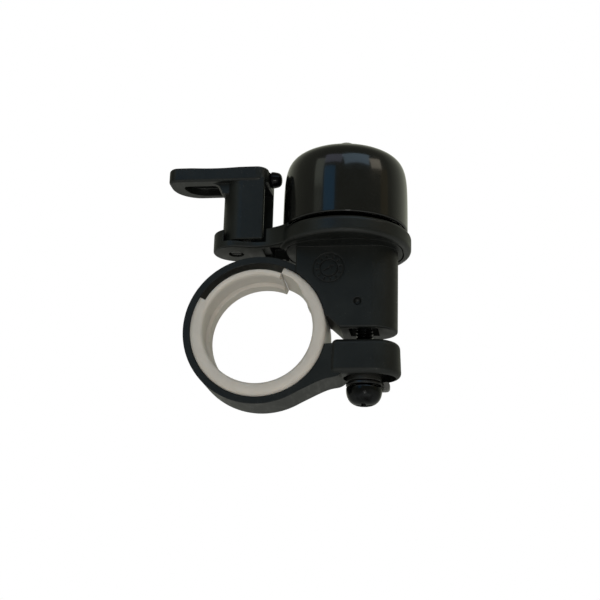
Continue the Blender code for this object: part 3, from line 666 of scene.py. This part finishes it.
# ---------------- clamp body
def mould_dial():
    """A plain mould maker's dial, sunk in the side: two rings, ticks and a pointer."""
    centre = Vector((16.15, 14.2)) * MM
    depth = 0.32 * MM
    low = -HALF - CLEAR
    high = -HALF + depth
    tools = []
    for outer, inner in ((3.72, 3.26), (2.15, 1.85)):
        ring = rod(outer * MM, low, high, centre, "Y", 96)
        core = rod(inner * MM, low - CLEAR, high + CLEAR, centre, "Y", 96)
        tools.append(carved(ring, core))
    for i in range(12):
        angle = math.radians(30 * i + 9)
        way = Vector((math.cos(angle), math.sin(angle)))
        side = Vector((-way.y, way.x)) * 0.22 * MM
        near = centre + way * 2.35 * MM
        far = centre + way * 3.05 * MM
        tools.append(prism([near - side, far - side, far + side, near + side], "Y", low, high))
    way = Vector((math.cos(math.radians(27)), math.sin(math.radians(27))))
    side = Vector((-way.y, way.x))
    tail = centre - way * 1.35 * MM
    tip = centre + way * 1.45 * MM
    neck = centre + way * 0.55 * MM
    arrow = [tail - side * 0.15 * MM, neck - side * 0.15 * MM, neck - side * 0.5 * MM, tip]
    arrow += [neck + side * 0.5 * MM, neck + side * 0.15 * MM, tail + side * 0.15 * MM]
    tools.append(prism(arrow, "Y", low, high))
    return tools


def make_clamp_body():
    """Block, strap, lug and the pad under the base, with the bore, recess, nut pocket and marks."""
    body = prism(stadium(BLOCK_X0, BLOCK_X1, HALF), "Z", BLOCK_Z0, BLOCK_TOP)
    eased(body, 0.45 * MM, 4)

    tangent = math.radians(300.0)
    outline = arc(0, 0, STRAP_R, 50.0, 300.0, 180)
    outline += flowing([
        (STRAP_R * math.cos(tangent), STRAP_R * math.sin(tangent)), (13.4 * MM, -12.6 * MM),
        (15.9 * MM, -11.55 * MM), (17.4 * MM, -11.4 * MM), (18.6 * MM, -11.1 * MM),
        (19.8 * MM, -10.0 * MM),
    ], 4)[1:]
    outline += [(19.8 * MM, -3.3 * MM), (15.0 * MM, -3.6 * MM)]
    outline += arc(0, 0, BORE_R - 0.4 * MM, 346.5, 410.0, 64)
    strap = prism(outline, "Y", -STRAP_HALF, STRAP_HALF)
    eased(strap, 0.32 * MM, 3)

    lug = prism(stadium(LUG_X0, LUG_X1, HALF), "Z", LUG_Z0, LUG_Z1, 0.35 * MM)
    eased(lug, 1.3 * MM, 6)
    pad = prism(oval(PAD_LENGTH, PAD_WIDTH), "Z", 19.55 * MM, BLOCK_TOP)
    eased(pad, 0.15 * MM, 2)
    joined(body, strap, lug, pad)

    bore = rod(BORE_R, -HALF - 2 * MM, HALF + 2 * MM, axis="Y", sides=240)
    recess = prism(slot_shape(SCREW_X - 4.8 * MM, 31.3 * MM, 4.7 * MM), "Z", -13 * MM, -8.5 * MM)
    eased(recess, 0.3 * MM, 3)
    shank = rod(SCREW_HOLE_R, -12 * MM, 12 * MM, (SCREW_X, 0), sides=72)
    under = block(20.7 * MM, 27.4 * MM, -4.5 * MM, 2.0 * MM, -1 * MM, 2.6 * MM)
    eased(under, 0.5 * MM, 3)
    nut_low, nut_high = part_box("clamp_nut")
    gap = 0.3 * MM
    pocket = block(
        nut_low.x - gap, nut_high.x + gap, nut_low.y - gap, HALF + CLEAR,
        nut_low.z - gap, nut_high.z + gap,
    )
    eased(pocket, 0.15 * MM, 2)
    corner = prism([
        (12 * MM, -1 * MM), (19.4 * MM, -1 * MM), (18.9 * MM, BLOCK_Z0), (15.8 * MM, 2.9 * MM),
        (12 * MM, 2.9 * MM),
    ], "Y", -HALF - CLEAR, HALF + CLEAR)
    dimple_r = 0.95 * MM
    bowl = [(0.0, 2 * MM), (dimple_r, 2 * MM)] + arc(0, 0, dimple_r, 0, -90, 12)
    bowl[-1] = (0.0, bowl[-1][1])
    dimple = turned(bowl, sides=64)
    on_near_side = Matrix.Translation((22.8 * MM, -HALF, 6.2 * MM))
    moved(dimple, on_near_side @ Matrix.Rotation(math.pi / 2, 4, "X"))
    pins = []
    for x, z in ((13.2, 3.2), (29.0, 15.8), (28.9, 3.6)):
        pins.append(rod(1.25 * MM, HALF - 0.12 * MM, HALF + CLEAR, (x * MM, z * MM), "Y", 48))
    ribs = [
        rod(1.65 * MM, low, 21 * MM, (x, 0), sides=48)
        for x, low in zip(BASE_SCREW_X, (13.2 * MM, 10.9 * MM))
    ]
    carved(body, bore, recess, shank, under, pocket, corner, dimple, *pins, *ribs, *mould_dial())
    eased(body, 0.05 * MM, 1, 40.0)
    present(body, "clamp_body_moulding", CLAMP_NYLON, "clamp_nylon", "clamp", "clamp_body", sharp=42)


# ---------------- liner
def make_liner():
    """The split sleeve: a groove inside, a long relief outside, and one end thinned to a lip."""
    groove = 0.75 * MM
    corners = [
        (LINER_RO, LINER_HALF), (LINER_RO, -LINER_HALF), (LINER_RI, -LINER_HALF),
        (LINER_RI, -4.4 * MM), (LINER_RI + groove, -3.7 * MM), (LINER_RI + groove, 1.8 * MM),
        (LINER_RI, 2.5 * MM), (LINER_RI, LINER_HALF),
    ]
    softness = [0.4, 1.6, 1.2, 0.15, 0.3, 0.3, 0.15, 0.4]
    ring = turned(rounded(corners, [s * MM for s in softness], 5), sides=240)
    moved(ring, Matrix.Rotation(-math.pi / 2, 4, "X"))
    ends = (-LINER_HALF - CLEAR, LINER_HALF + CLEAR)
    relief = prism(
        arc(0, 0, 13.95 * MM, LINER_SPLIT_DEG, LINER_RELIEF_END_DEG, 90)
        + arc(0, 0, LINER_RO + 2 * MM, LINER_RELIEF_END_DEG, LINER_SPLIT_DEG, 60), "Y", *ends,
    )
    thin_end = []
    for i in range(41):
        u = i / 40
        angle = math.radians(LINER_TAPER_DEG + (LINER_SPLIT_DEG - LINER_TAPER_DEG) * u)
        radius = LINER_RI - 0.15 * MM + 1.4 * MM * math.sin(math.pi / 2 * min(1.0, 1.4 * u))
        thin_end.append((radius * math.cos(angle), radius * math.sin(angle)))
    thin_end += arc(0, 0, LINER_RI - 2 * MM, LINER_SPLIT_DEG, LINER_TAPER_DEG, 20)
    taper = prism(thin_end, "Y", *ends)
    half_slit = 0.03 * MM
    slit = block(9 * MM, 20 * MM, -8 * MM, 8 * MM, -half_slit, half_slit)
    moved(slit, Matrix.Rotation(-math.radians(LINER_SPLIT_DEG), 4, "Y"))
    carved(ring, relief, taper, slit)
    eased(ring, 0.12 * MM, 2, 40.0)
    present(ring, "clamp_liner_sleeve", LINER_ELASTOMER, "liner_elastomer", "clamp", "clamp_liner")


# ---------------- screws
def thread(radius, low, high, pitch, centre, depth, sides=48, steps=6):
    """A threaded shank: a rod whose radius winds up and down like a screw's."""
    bm = bmesh.new()
    rows = int(round((high - low) / pitch * steps))
    rings = []
    for k in range(rows + 1):
        height = low + (high - low) * k / rows
        fade = min(1.0, k / steps, (rows - k) / steps)
        ring = []
        for i in range(sides):
            turn = (height - low) / pitch - i / sides
            wave = abs((turn % 1.0) * 2 - 1)
            cut = depth * fade * min(1.0, max(0.0, 1.35 * wave - 0.15))
            angle = 2 * math.pi * i / sides
            ring.append(bm.verts.new((
                centre[0] + (radius - cut) * math.cos(angle),
                centre[1] + (radius - cut) * math.sin(angle), height,
            )))
        rings.append(ring)
    bridged(bm, rings)
    bm.faces.new(rings[0])
    bm.faces.new(rings[-1])
    return solid("tool", bm)


def cross_cutter(centre, crown, size, depth, up):
    """The tapered cross of a driver, cut down from a head's crown."""
    bm = bmesh.new()
    way = 1 if up else -1
    arms = []
    for i in range(4):
        angle = math.pi / 2 * i
        out = Vector((math.cos(angle), math.sin(angle)))
        side = Vector((-out.y, out.x)) * size * 0.21
        arms += [out * size - side, out * size + side, (out + Vector((-out.y, out.x))) * size * 0.30]
    rings = []
    for level, share in ((crown + way * 1 * MM, 1.1), (crown - way * depth, 0.62)):
        rings.append([
            bm.verts.new((centre[0] + p.x * share, centre[1] + p.y * share, level)) for p in arms
        ])
    bm.faces.new(rings[0])
    bm.faces.new(rings[1])
    bridged(bm, rings)
    return solid("tool", bm)


def pan_head(radius, seat, crown, shank_r, shank_to, centre, sides=96):
    """A pan head with a domed crown and a soft lower edge, on a short plain shank."""
    rise = crown - seat
    guide = [(0.0, 1.0), (0.35, 0.985), (0.62, 0.90), (0.84, 0.72), (0.965, 0.46), (1.0, 0.22)]
    guide += [(1.0, 0.12)]
    profile = [(r * radius, seat + h * rise) for r, h in flowing(guide, 5)[2:]]
    profile[0] = (0.0, crown)
    profile += [(0.992 * radius, seat + 0.04 * rise), (0.95 * radius, seat), (shank_r, seat)]
    profile += [(shank_r, shank_to), (0.0, shank_to)]
    return turned(profile, centre, sides)


def make_clamp_screw():
    """The cross-head clamp screw and its washer."""
    centre = (SCREW_X, 0.0)
    head_r = (SCREW_HIGH.x - SCREW_LOW.x) / 2
    screw = pan_head(head_r, -12.6 * MM, SCREW_LOW.z, 1.85 * MM, -9.0 * MM, centre, 120)
    shank = thread(2.0 * MM, -9.6 * MM, SCREW_HIGH.z, 0.7 * MM, centre, 0.36 * MM)
    joined(screw, shank)
    carved(screw, cross_cutter(centre, SCREW_LOW.z, 2.2 * MM, 1.9 * MM, False))
    eased(screw, 0.07 * MM, 2, 50.0)
    present(screw, "clamp_screw_pan", BLACK_ZINC, "screw_black_zinc", "screw", "clamp_screw", sharp=60)

    low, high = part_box("clamp_washer")
    washer = soft_ring(high.y, SCREW_HOLE_R, low.z, high.z, 0.14 * MM, centre)
    present(washer, "clamp_washer_ring", DARK_ZINC, "washer_zinc", "washer", "clamp_washer")


def make_retainer():
    """The ring that keeps the screw in the lug, with an ear beside the head."""
    ring = soft_ring(
        3.9 * MM, SCREW_HOLE_R, RECESS_Z, RETAINER_HIGH.z, 0.25 * MM, (SCREW_X, 0.0)
    )
    ear = prism(rounded([
        (26.6 * MM, -10.9 * MM), (RETAINER_HIGH.x, -10.9 * MM), (RETAINER_HIGH.x, RETAINER_LOW.z),
        (26.6 * MM, RETAINER_LOW.z),
    ], [0, 0.6 * MM, 1.4 * MM, 0.3 * MM]), "Y", 1.4 * MM, 3.4 * MM)
    clear = rod(4.5 * MM, -14 * MM, RECESS_Z, (SCREW_X, 0), sides=96)
    carved(ear, clear)
    eased(ear, 0.3 * MM, 4)
    joined(ring, ear)
    present(ring, "screw_retainer_ring", RETAINER_NYLON, "retainer_nylon", "clamp", "screw_retainer")


def make_dome_screw():
    """The small cross-head screw and washer on the crown."""
    centre = (DOME_X, 0.0)
    crown = CAP_HIGH.z
    head_r = (CAP_HIGH.x - CAP_LOW.x) / 2
    screw = pan_head(head_r, 45.96 * MM, crown, 1.4 * MM, 44.0 * MM, centre, 96)
    shank = thread(1.5 * MM, CAP_LOW.z, 44.4 * MM, 0.5 * MM, centre, 0.26 * MM, 40)
    joined(screw, shank)
    carved(screw, cross_cutter(centre, crown, 1.35 * MM, 0.95 * MM, True))
    eased(screw, 0.05 * MM, 2, 50.0)
    present(screw, "dome_screw_pan", CAP_STEEL, "dome_screw_steel", "clamp", "dome_screw", sharp=60)

    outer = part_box("dome_washer")[1].y
    low = CROWN_Z - 0.02 * MM
    washer = soft_ring(outer, DOME_HOLE_R, low, CAP_SEAT_Z, 0.1 * MM, centre)
    present(washer, "dome_washer_ring", DARK_ZINC, "dome_washer_zinc", "clamp", "dome_washer")


# ---------------- dome
def make_dome():
    """A drawn shell: nearly upright sides, a firm shoulder, a shallow crown and a rolled lip."""
    wall = 0.95 * MM
    guide = [
        (1.8, 45.25), (4.0, 45.0), (6.5, 44.42), (8.7, 43.73), (10.3, 43.12), (11.55, 42.50),
        (12.5, 41.84), (13.22, 41.04), (13.72, 40.1), (14.08, 39.0), (14.33, 37.7), (14.5, 36.0),
        (14.6, 33.5), (14.64, 30.0), (14.66, 27.0), (14.66, 25.0),
    ]
    shrink = (CROWN_Z - RIM_Z) / (45.25 - 24.56)
    outer = [(r * DOME_R / 14.66, RIM_Z + (z - 24.56) * shrink) for r, z in flowing(guide, 5)]
    inner = []
    for i in range(len(outer) - 1, -1, -3):
        before = Vector(outer[max(i - 1, 0)])
        after = Vector(outer[min(i + 1, len(outer) - 1)])
        along = (after - before).normalized()
        point = Vector(outer[i]) + Vector((along.y, -along.x)) * wall
        if point.x > DOME_HOLE_R + 0.3 * MM:
            inner.append(tuple(point))
    lip = arc(DOME_R - wall / 2, RIM_Z + wall / 2, wall / 2, 0, -180, 14)
    profile = outer + lip + inner + [(DOME_HOLE_R, CROWN_Z - wall - 0.02 * MM)]
    dome = turned(profile, (DOME_X, 0.0), 240)
    present(dome, "dome_shell", DOME_LACQUER, "dome_black_gloss", "clamp", "dome", sharp=60)


# ---------------- base
def make_base():
    """Flange, boss, neck and lobe in one moulding, with the pocket that the lever's foot stands in."""
    low = FLANGE_LOW_Z
    line = [
        (BOSS_R, BOSS_TOP), (BOSS_R + 0.45 * MM, PLATE_TOP_Z), (SKIRT_R, PLATE_TOP_Z),
        (SKIRT_R, FLANGE_Z1), (FLANGE_R, FLANGE_Z1), (FLANGE_R, low),
    ]
    closed = [(0.0, BOSS_TOP)] + line + [(0.0, low)]
    softness = [0.0, 0.4, 1.6, 0.25, 0.3, 1.25, 1.1, 0.0]
    base = turned(rounded(closed, [s * MM for s in softness], 8), (DOME_X, 0.0), 200)

    reach = DOME_X - TIE_X
    d1 = LOBE_R + NECK_FILLET_R
    d2 = FLANGE_R - 0.3 * MM + NECK_FILLET_R
    along = (d1 * d1 - d2 * d2 + reach * reach) / (2 * reach)
    side = math.sqrt(d1 * d1 - along * along)
    lobe_deg = math.degrees(math.atan2(side, along))
    flange_deg = math.degrees(math.atan2(side, along - reach))
    near = arc(TIE_X + along, -side, NECK_FILLET_R, 180 - lobe_deg, 180 - flange_deg, 32)
    far = arc(TIE_X + along, side, NECK_FILLET_R, 180 + flange_deg, 180 + lobe_deg, 32)
    outline = arc(TIE_X, 0, LOBE_R, lobe_deg, 360 - lobe_deg, 96) + near[1:]
    outline += [(DOME_X - 7 * MM, near[-1][1]), (DOME_X - 7 * MM, far[0][1])] + far[:-1]
    neck = prism(outline, "Z", LOBE_Z0, NECK_TOP_Z)
    eased(neck, 0.8 * MM, 6, 50.0)
    clear = rod(FLANGE_R - 0.35 * MM, FLANGE_Z1 - 0.8 * MM, 30 * MM, (DOME_X, 0), sides=200)
    inside = rod(SKIRT_R + 0.4 * MM, 18 * MM, 30 * MM, (DOME_X, 0), sides=200)
    wide = 9 * MM
    pocket_line = arc(POST_X0 + POST_HALF, 0, POST_HALF + POCKET_GAP, 90, 270, 72)
    pocket_line += [(POCKET_X1, -wide), (POCKET_X1, wide)]
    pocket = prism(pocket_line, "Z", POCKET_Z, 30 * MM)
    for corner in pocket.data.vertices:
        if corner.co.z < NECK_TOP_Z:
            corner.co.z = POCKET_Z + (POCKET_X1 - corner.co.x) * POCKET_SLOPE
    shoulders = block(HORN_X, POCKET_X1, -wide, wide, 21.6 * MM, 30 * MM)
    core = block(1.6 * MM, 5.5 * MM, -4.4 * MM, 4.4 * MM, 19 * MM, 22.7 * MM)
    eased(core, 0.4 * MM, 3)
    shallow = block(0.0, 3.0 * MM, -3.6 * MM, 3.6 * MM, 19 * MM, 20.75 * MM)
    carved(neck, clear, inside, pocket, shoulders)
    boss = turned(rounded([
        (0, 22.3 * MM), (2.0 * MM, 22.3 * MM), (2.0 * MM, 20.5 * MM), (0, 20.5 * MM),
    ], [0, 0.25 * MM, 0, 0], 4), (TIE_X, 0.0), 72)
    joined(base, neck, boss)

    bore = rod(1.8 * MM, 30 * MM, 44 * MM, (DOME_X, 0))
    nest = rod(2.7 * MM, 36.2 * MM, 44 * MM, (DOME_X, 0))
    counter = rod(1.85 * MM, 18 * MM, 21.25 * MM, (TIE_X, 0), sides=72)
    through = rod(1.25 * MM, 20 * MM, 24 * MM, (TIE_X, 0), sides=48)
    play = 0.6 * MM
    seat_line = oval(PAD_LENGTH + play, PAD_WIDTH + play)
    seat = prism(seat_line, "Z", low - CLEAR, BLOCK_TOP + 0.3 * MM)
    holes = [rod(1.65 * MM, 18 * MM, 24 * MM, (x, 0)) for x in BASE_SCREW_X]
    carved(base, bore, nest, counter, through, seat, core, shallow, *holes)
    eased(base, 0.06 * MM, 1, 40.0)
    present(base, "base_plate_moulding", BASE_NYLON, "base_nylon", "clamp", "base_plate", sharp=42)


# ---------------- lever
def tab_shape(near_in=0.0, far_in=0.0, left_in=0.0, right=TAB_X1, steps=1):
    """The thumb tab from above: straight near edge, big round on the far left."""
    near = TAB_Y0 + near_in
    far = TAB_Y1 - far_in
    left = TAB_X0 + left_in
    small = 2.4 * MM - min(near_in, left_in) * 0.4
    corner = 2.8 * MM if near_in == 0 else 0.5 * MM
    big = min(6.6 * MM - min(far_in, left_in) * 0.9, far - near - small)
    points = arc(right - corner, near + corner, corner, -90, 0, 8 * steps) + [(right, far)]
    points += arc(left + big, far - big, big, 90, 180, 20 * steps)
    points += arc(left + small, near + small, small, 180, 270, 10 * steps)
    return points


def post_shape(inset, near_right, far_right):
    """The hollow post from above: round on the left, open or cut off on the right."""
    half = POST_HALF - inset
    left = POST_X0 + inset
    return [(near_right, -half), (far_right, half)] + arc(left + half, 0, half, 90, 270, 64)


def make_lever():
    """Tab, hollow post, gusset and knob collar in one moulding, and the hammer knob."""
    lever = prism(tab_shape(steps=2), "Z", TAB_Z0, TAB_Z1)
    eased(lever, 0.62 * MM, 6)
    post = prism(post_shape(0.0, 0.35 * MM, TAB_X1), "Z", POST_Z0, TAB_Z0 + 0.8 * MM)
    eased(post, 0.3 * MM, 3, 50.0)
    radius = 2.6 * MM
    left = POST_X0 + 2.2 * MM
    curve = arc(POST_X0 - radius, TAB_Z0 - radius, radius, 90, 0, 24)
    web = [(left, TAB_Z0 + 0.5 * MM), (curve[0][0], TAB_Z0 + 0.5 * MM)] + curve + [(left, curve[-1][1])]
    gusset = prism(web, "Y", -3.9 * MM, 3.9 * MM)
    collar = rod(KNOB_R, -1.5 * MM, TAB_X1 - 0.02 * MM, (-KNOB_Z, 0), sides=96)
    moved(collar, Matrix.Rotation(math.pi / 2, 4, "Y"))
    carved(collar, block(-3 * MM, 3 * MM, -3 * MM, 3 * MM, TAB_Z1 - 0.05 * MM, 45 * MM))
    joined(lever, post, gusset, collar)

    hollow = prism(post_shape(POST_WALL, 3 * MM, 3 * MM), "Z", POST_Z0 - 1 * MM, TAB_Z0 - 0.2 * MM)
    carved(hollow, block(POST_X0, -3.4 * MM, -POST_HALF, POST_HALF, 23.2 * MM, 24.2 * MM))
    slot = prism(
        tab_shape(3.2 * MM, 2.0 * MM, 3.3 * MM, -11.4 * MM, 2), "Z", TAB_Z0 - 1 * MM, TAB_Z0 + 2 * MM
    )
    eased(slot, 0.3 * MM, 2, 50.0)
    eye = rod(1.55 * MM, 22 * MM, 25 * MM, (TIE_X, 0), sides=48)
    socket = rod(1.2 * MM, -2.6 * MM, 3 * MM, (-KNOB_Z, 0), sides=48)
    moved(socket, Matrix.Rotation(math.pi / 2, 4, "Y"))
    dish = rod(60 * MM, -15 * MM, 15 * MM, (-11.5 * MM, TAB_Z1 + 60 * MM - 0.4 * MM), "Y", 360)
    carved(lever, hollow, slot, eye, socket, dish)
    eased(lever, 0.06 * MM, 1, 40.0)
    present(lever, "lever_moulding", LEVER_NYLON, "lever_nylon", "lever", "lever", sharp=42)

    end = KNOB_HIGH.x
    guide = [
        (0.0, 0.0), (0.62, 0.02), (1.2, 0.2), (1.58, 0.52), (1.78, 0.95), (1.87, 1.45), (1.95, 1.85),
        (1.98, 2.1), (1.98, 2.3),
    ]
    profile = [(r * KNOB_R / (1.98 * MM) * MM, end - h * MM) for r, h in flowing(guide, 5)]
    profile[0] = (0.0, end)
    neck = 0.9 * MM
    tip = 0.2 * MM
    profile += [(KNOB_R, 1.3 * MM), (KNOB_R - 0.25 * MM, 1.04 * MM), (neck, 1.03 * MM)]
    profile += [(neck, KNOB_LOW.x + tip), (neck - tip, KNOB_LOW.x), (0.0, KNOB_LOW.x)]
    knob = turned(profile, sides=96)
    moved(knob, Matrix.Translation((0, 0, KNOB_Z)) @ Matrix.Rotation(math.pi / 2, 4, "Y"))
    present(
        knob, "hammer_knob_gloss", KNOB_LACQUER, "knob_black_gloss", "lever", "hammer_knob", sharp=60
    )


# ---------------- tie and spring
def make_tie():
    """The slotted tie screw under the lobe."""
    centre = (TIE_X, 0.0)
    low = TIE_LOW.z
    head = turned(rounded([
        (0, 21.0 * MM), (1.5 * MM, 21.0 * MM), (1.5 * MM, low), (0, low),
    ], [0, 0.1 * MM, 0.3 * MM, 0], 5), centre, 72)
    joined(head, thread(0.8 * MM, 20.9 * MM, TIE_HIGH.z, 0.4 * MM, centre, 0.16 * MM, 32))
    carved(head, block(TIE_X - 2 * MM, TIE_X + 2 * MM, -0.2 * MM, 0.2 * MM, 19 * MM, low + 0.35 * MM))
    present(head, "tie_screw_slotted", BLACK_ZINC, "tie_steel", "clamp", "tie_screw", sharp=60)


def make_spring():
    """The coil inside the post, its end turns closed; the real coil shortens as the lever rocks, this
    mesh keeps one length.
    """
    wire = 0.22 * MM
    radius = (SPRING_HIGH.y - SPRING_LOW.y) / 2 - wire
    start = SPRING_LOW.z + wire
    rise = SPRING_HIGH.z - SPRING_LOW.z - 2 * wire
    turns = 7
    count = turns * 32
    sides = 12
    bm = bmesh.new()
    rings = []
    for k in range(count + 1):
        u = k / count
        climb = min(1.0, max(0.0, (u - 0.1) / 0.8))
        z = start + rise * (0.93 * climb + 0.07 * u)
        angle = 2 * math.pi * turns * u
        out = Vector((math.cos(angle), math.sin(angle), 0))
        middle = Vector((TIE_X, 0, z)) + out * radius
        ring = []
        for i in range(sides):
            t = 2 * math.pi * i / sides
            ring.append(bm.verts.new(middle + (out * math.cos(t) + Vector((0, 0, math.sin(t)))) * wire))
        rings.append(ring)
    bridged(bm, rings)
    bm.faces.new(rings[0])
    bm.faces.new(rings[-1])
    spring = solid("tool", bm)
    present(spring, "lever_spring_coil", SPRING_STEEL, "spring_steel", "clamp", "lever_spring", sharp=60)
    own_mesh(spring)


def dress_hidden_parts():
    """The small parts inside keep their CAD meshes and take real finishes."""
    finishes = {
        "clamp_nut": STEEL, "base_screw_left": STEEL, "base_screw_right": STEEL, "tie_nut": STEEL,
        "spring_seat": STEEL, "boss_insert": BRASS, "dome_bush": BUSH_RUBBER,
    }
    for name, mat in finishes.items():
        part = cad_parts[name]
        part.data.materials.clear()
        part.data.materials.append(mat)


make_clamp_body()
make_liner()
make_clamp_screw()
make_retainer()
make_dome()
make_dome_screw()
make_base()
make_lever()
make_tie()
make_spring()
dress_hidden_parts()


# ---------------- studio
def plain(name, colour, rough):
    """A matt paper that glows a little, so that it stays pale under the soft light."""
    mat, tree, sockets = new_material(name, Roughness=rough)
    coords = own_space(tree)
    tone = remap(tree, noise(tree, coords, 9.0, 4.0), 0.3, 0.7)
    shade = blend(tree, tone, colour, tuple(c * 0.97 for c in colour))
    tree.links.new(shade, sockets["Base Color"])
    tree.links.new(shade, sockets["Emission Color"])
    rays = node(tree, "ShaderNodeLightPath")
    glow = calc(tree, "MULTIPLY_ADD", rays.outputs["Is Camera Ray"], 0.36, 0.16)
    tree.links.new(glow, sockets["Emission Strength"])
    return mat


def make_floor():
    """A wide pale floor well below the bell."""
    bm = bmesh.new()
    bmesh.ops.create_grid(bm, x_segments=2, y_segments=2, size=25.0)
    floor = solid("studio_floor", bm)
    floor.location = (0.0, 0.0, -0.25)
    floor.data.materials.append(plain("floor_paper", (0.84, 0.84, 0.84), 0.8))


def way_to(azimuth, elevation):
    """The direction to an azimuth and elevation: 0 is the near side, 90 the dome's side."""
    a = math.radians(azimuth)
    e = math.radians(elevation)
    return Vector((math.sin(a) * math.cos(e), -math.cos(a) * math.cos(e), math.sin(e)))


def soft_light(name, place, target, width, height, power, colour):
    """A rectangular soft box aimed at a point."""
    light = bpy.data.lights.new(name, "AREA")
    light.shape = "RECTANGLE"
    light.size = width
    light.size_y = height
    light.energy = power
    light.color = colour
    box = bpy.data.objects.new(name, light)
    bpy.context.scene.collection.objects.link(box)
    box.visible_camera = False
    box.location = place
    box.rotation_euler = (Vector(place) - Vector(target)).to_track_quat("Z", "Y").to_euler()
    return box


def panel(name, azimuths, elevations, radiance, colour, distance=0.8):
    """A soft box that fills a patch of the surroundings, seen from the dome, at a set brightness."""
    azimuth = sum(azimuths) / 2
    elevation = sum(elevations) / 2
    wide = 2 * distance * math.tan(math.radians(azimuths[1] - azimuths[0]) / 2)
    wide *= math.cos(math.radians(elevation))
    tall = 2 * distance * math.tan(math.radians(elevations[1] - elevations[0]) / 2)
    centre = Vector((DOME_X, 0.0, RIM_Z))
    place = centre + way_to(azimuth, elevation) * distance
    power = radiance * math.pi * wide * tall
    return soft_light(name, place, centre, wide, tall, power, colour)


def make_lights():
    """The room around the bell: azimuths, elevations, brightness and tint of each patch of light."""
    panel("window_pale_top", (-55, -37), (24, 41), 0.62, (0.93, 1.0, 0.86))
    panel("window_pale_low", (-53, -39), (0, 23), 0.20, (0.93, 1.0, 0.86))
    panel("window_blue", (-35, -15), (2, 31), 0.55, (0.03, 0.46, 1.0))
    panel("ceiling_lavender", (-38, -2), (35, 50), 0.70, (0.72, 0.74, 1.0))
    panel("ceiling_sky", (0, 54), (34, 53), 1.25, (0.55, 0.78, 1.0))
    panel("ceiling_cream", (54, 78), (30, 42), 1.6, (1.0, 0.90, 0.74))
    panel("door_brown", (73, 89), (2, 30), 0.10, (1.0, 0.62, 0.15))
    fill = panel("low_fill", (-30, 48), (-34, -8), 2.0, (1.0, 0.975, 0.94), 0.45)
    fill.visible_glossy = False
    panel("small_lamp", (6, 14), (-29, -21), 8.0, (1.0, 0.98, 0.94), 0.4)


def make_world():
    """A white surround: bright behind the object, dim in front, plain white where it is seen."""
    world = bpy.data.worlds.new("studio")
    bpy.context.scene.world = world
    world.use_nodes = True
    tree = world.node_tree
    tree.nodes.clear()
    coords = node(tree, "ShaderNodeTexCoord").outputs["Generated"]
    split = node(tree, "ShaderNodeSeparateXYZ")
    tree.links.new(coords, split.inputs[0])
    behind = remap(tree, split.outputs["Y"], 0.1, 0.85, 0.155, 0.42)
    rays = node(tree, "ShaderNodeLightPath")
    seen = node(tree, "ShaderNodeBackground")
    seen.inputs["Color"].default_value = (1.0, 1.0, 1.0, 1.0)
    seen.inputs["Strength"].default_value = 1.0
    lit = node(tree, "ShaderNodeBackground")
    lit.inputs["Color"].default_value = (1.0, 1.03, 0.84, 1.0)
    tree.links.new(behind, lit.inputs["Strength"])
    choice = node(tree, "ShaderNodeMixShader")
    tree.links.new(rays.outputs["Is Camera Ray"], choice.inputs[0])
    tree.links.new(lit.outputs[0], choice.inputs[1])
    tree.links.new(seen.outputs[0], choice.inputs[2])
    out = node(tree, "ShaderNodeOutputWorld")
    tree.links.new(choice.outputs[0], out.inputs[0])


def make_camera():
    """Below and a little to the right of the near side, a long lens looking slightly up."""
    place = way_to(9.988, -15.613) * 285.4 * MM
    look_azimuth = 8.16
    back = way_to(look_azimuth, -17.311)
    level = math.radians(look_azimuth)
    right = Vector((math.cos(level), math.sin(level), 0.0))
    up = back.cross(right)
    tilt = math.radians(1.614)
    across = right * math.cos(tilt) + up * math.sin(tilt)
    upright = up * math.cos(tilt) - right * math.sin(tilt)
    data = bpy.data.cameras.new("bell_camera")
    data.sensor_width = 36.0
    data.lens = 73.91
    data.clip_start = 0.005
    camera = bpy.data.objects.new("bell_camera", data)
    bpy.context.scene.collection.objects.link(camera)
    turn = Matrix((across, upright, back)).transposed().to_4x4()
    camera.matrix_world = Matrix.Translation(place) @ turn
    bpy.context.scene.camera = camera


make_floor()
make_lights()
make_world()
make_camera()
bpy.context.scene.view_settings.view_transform = "Standard"
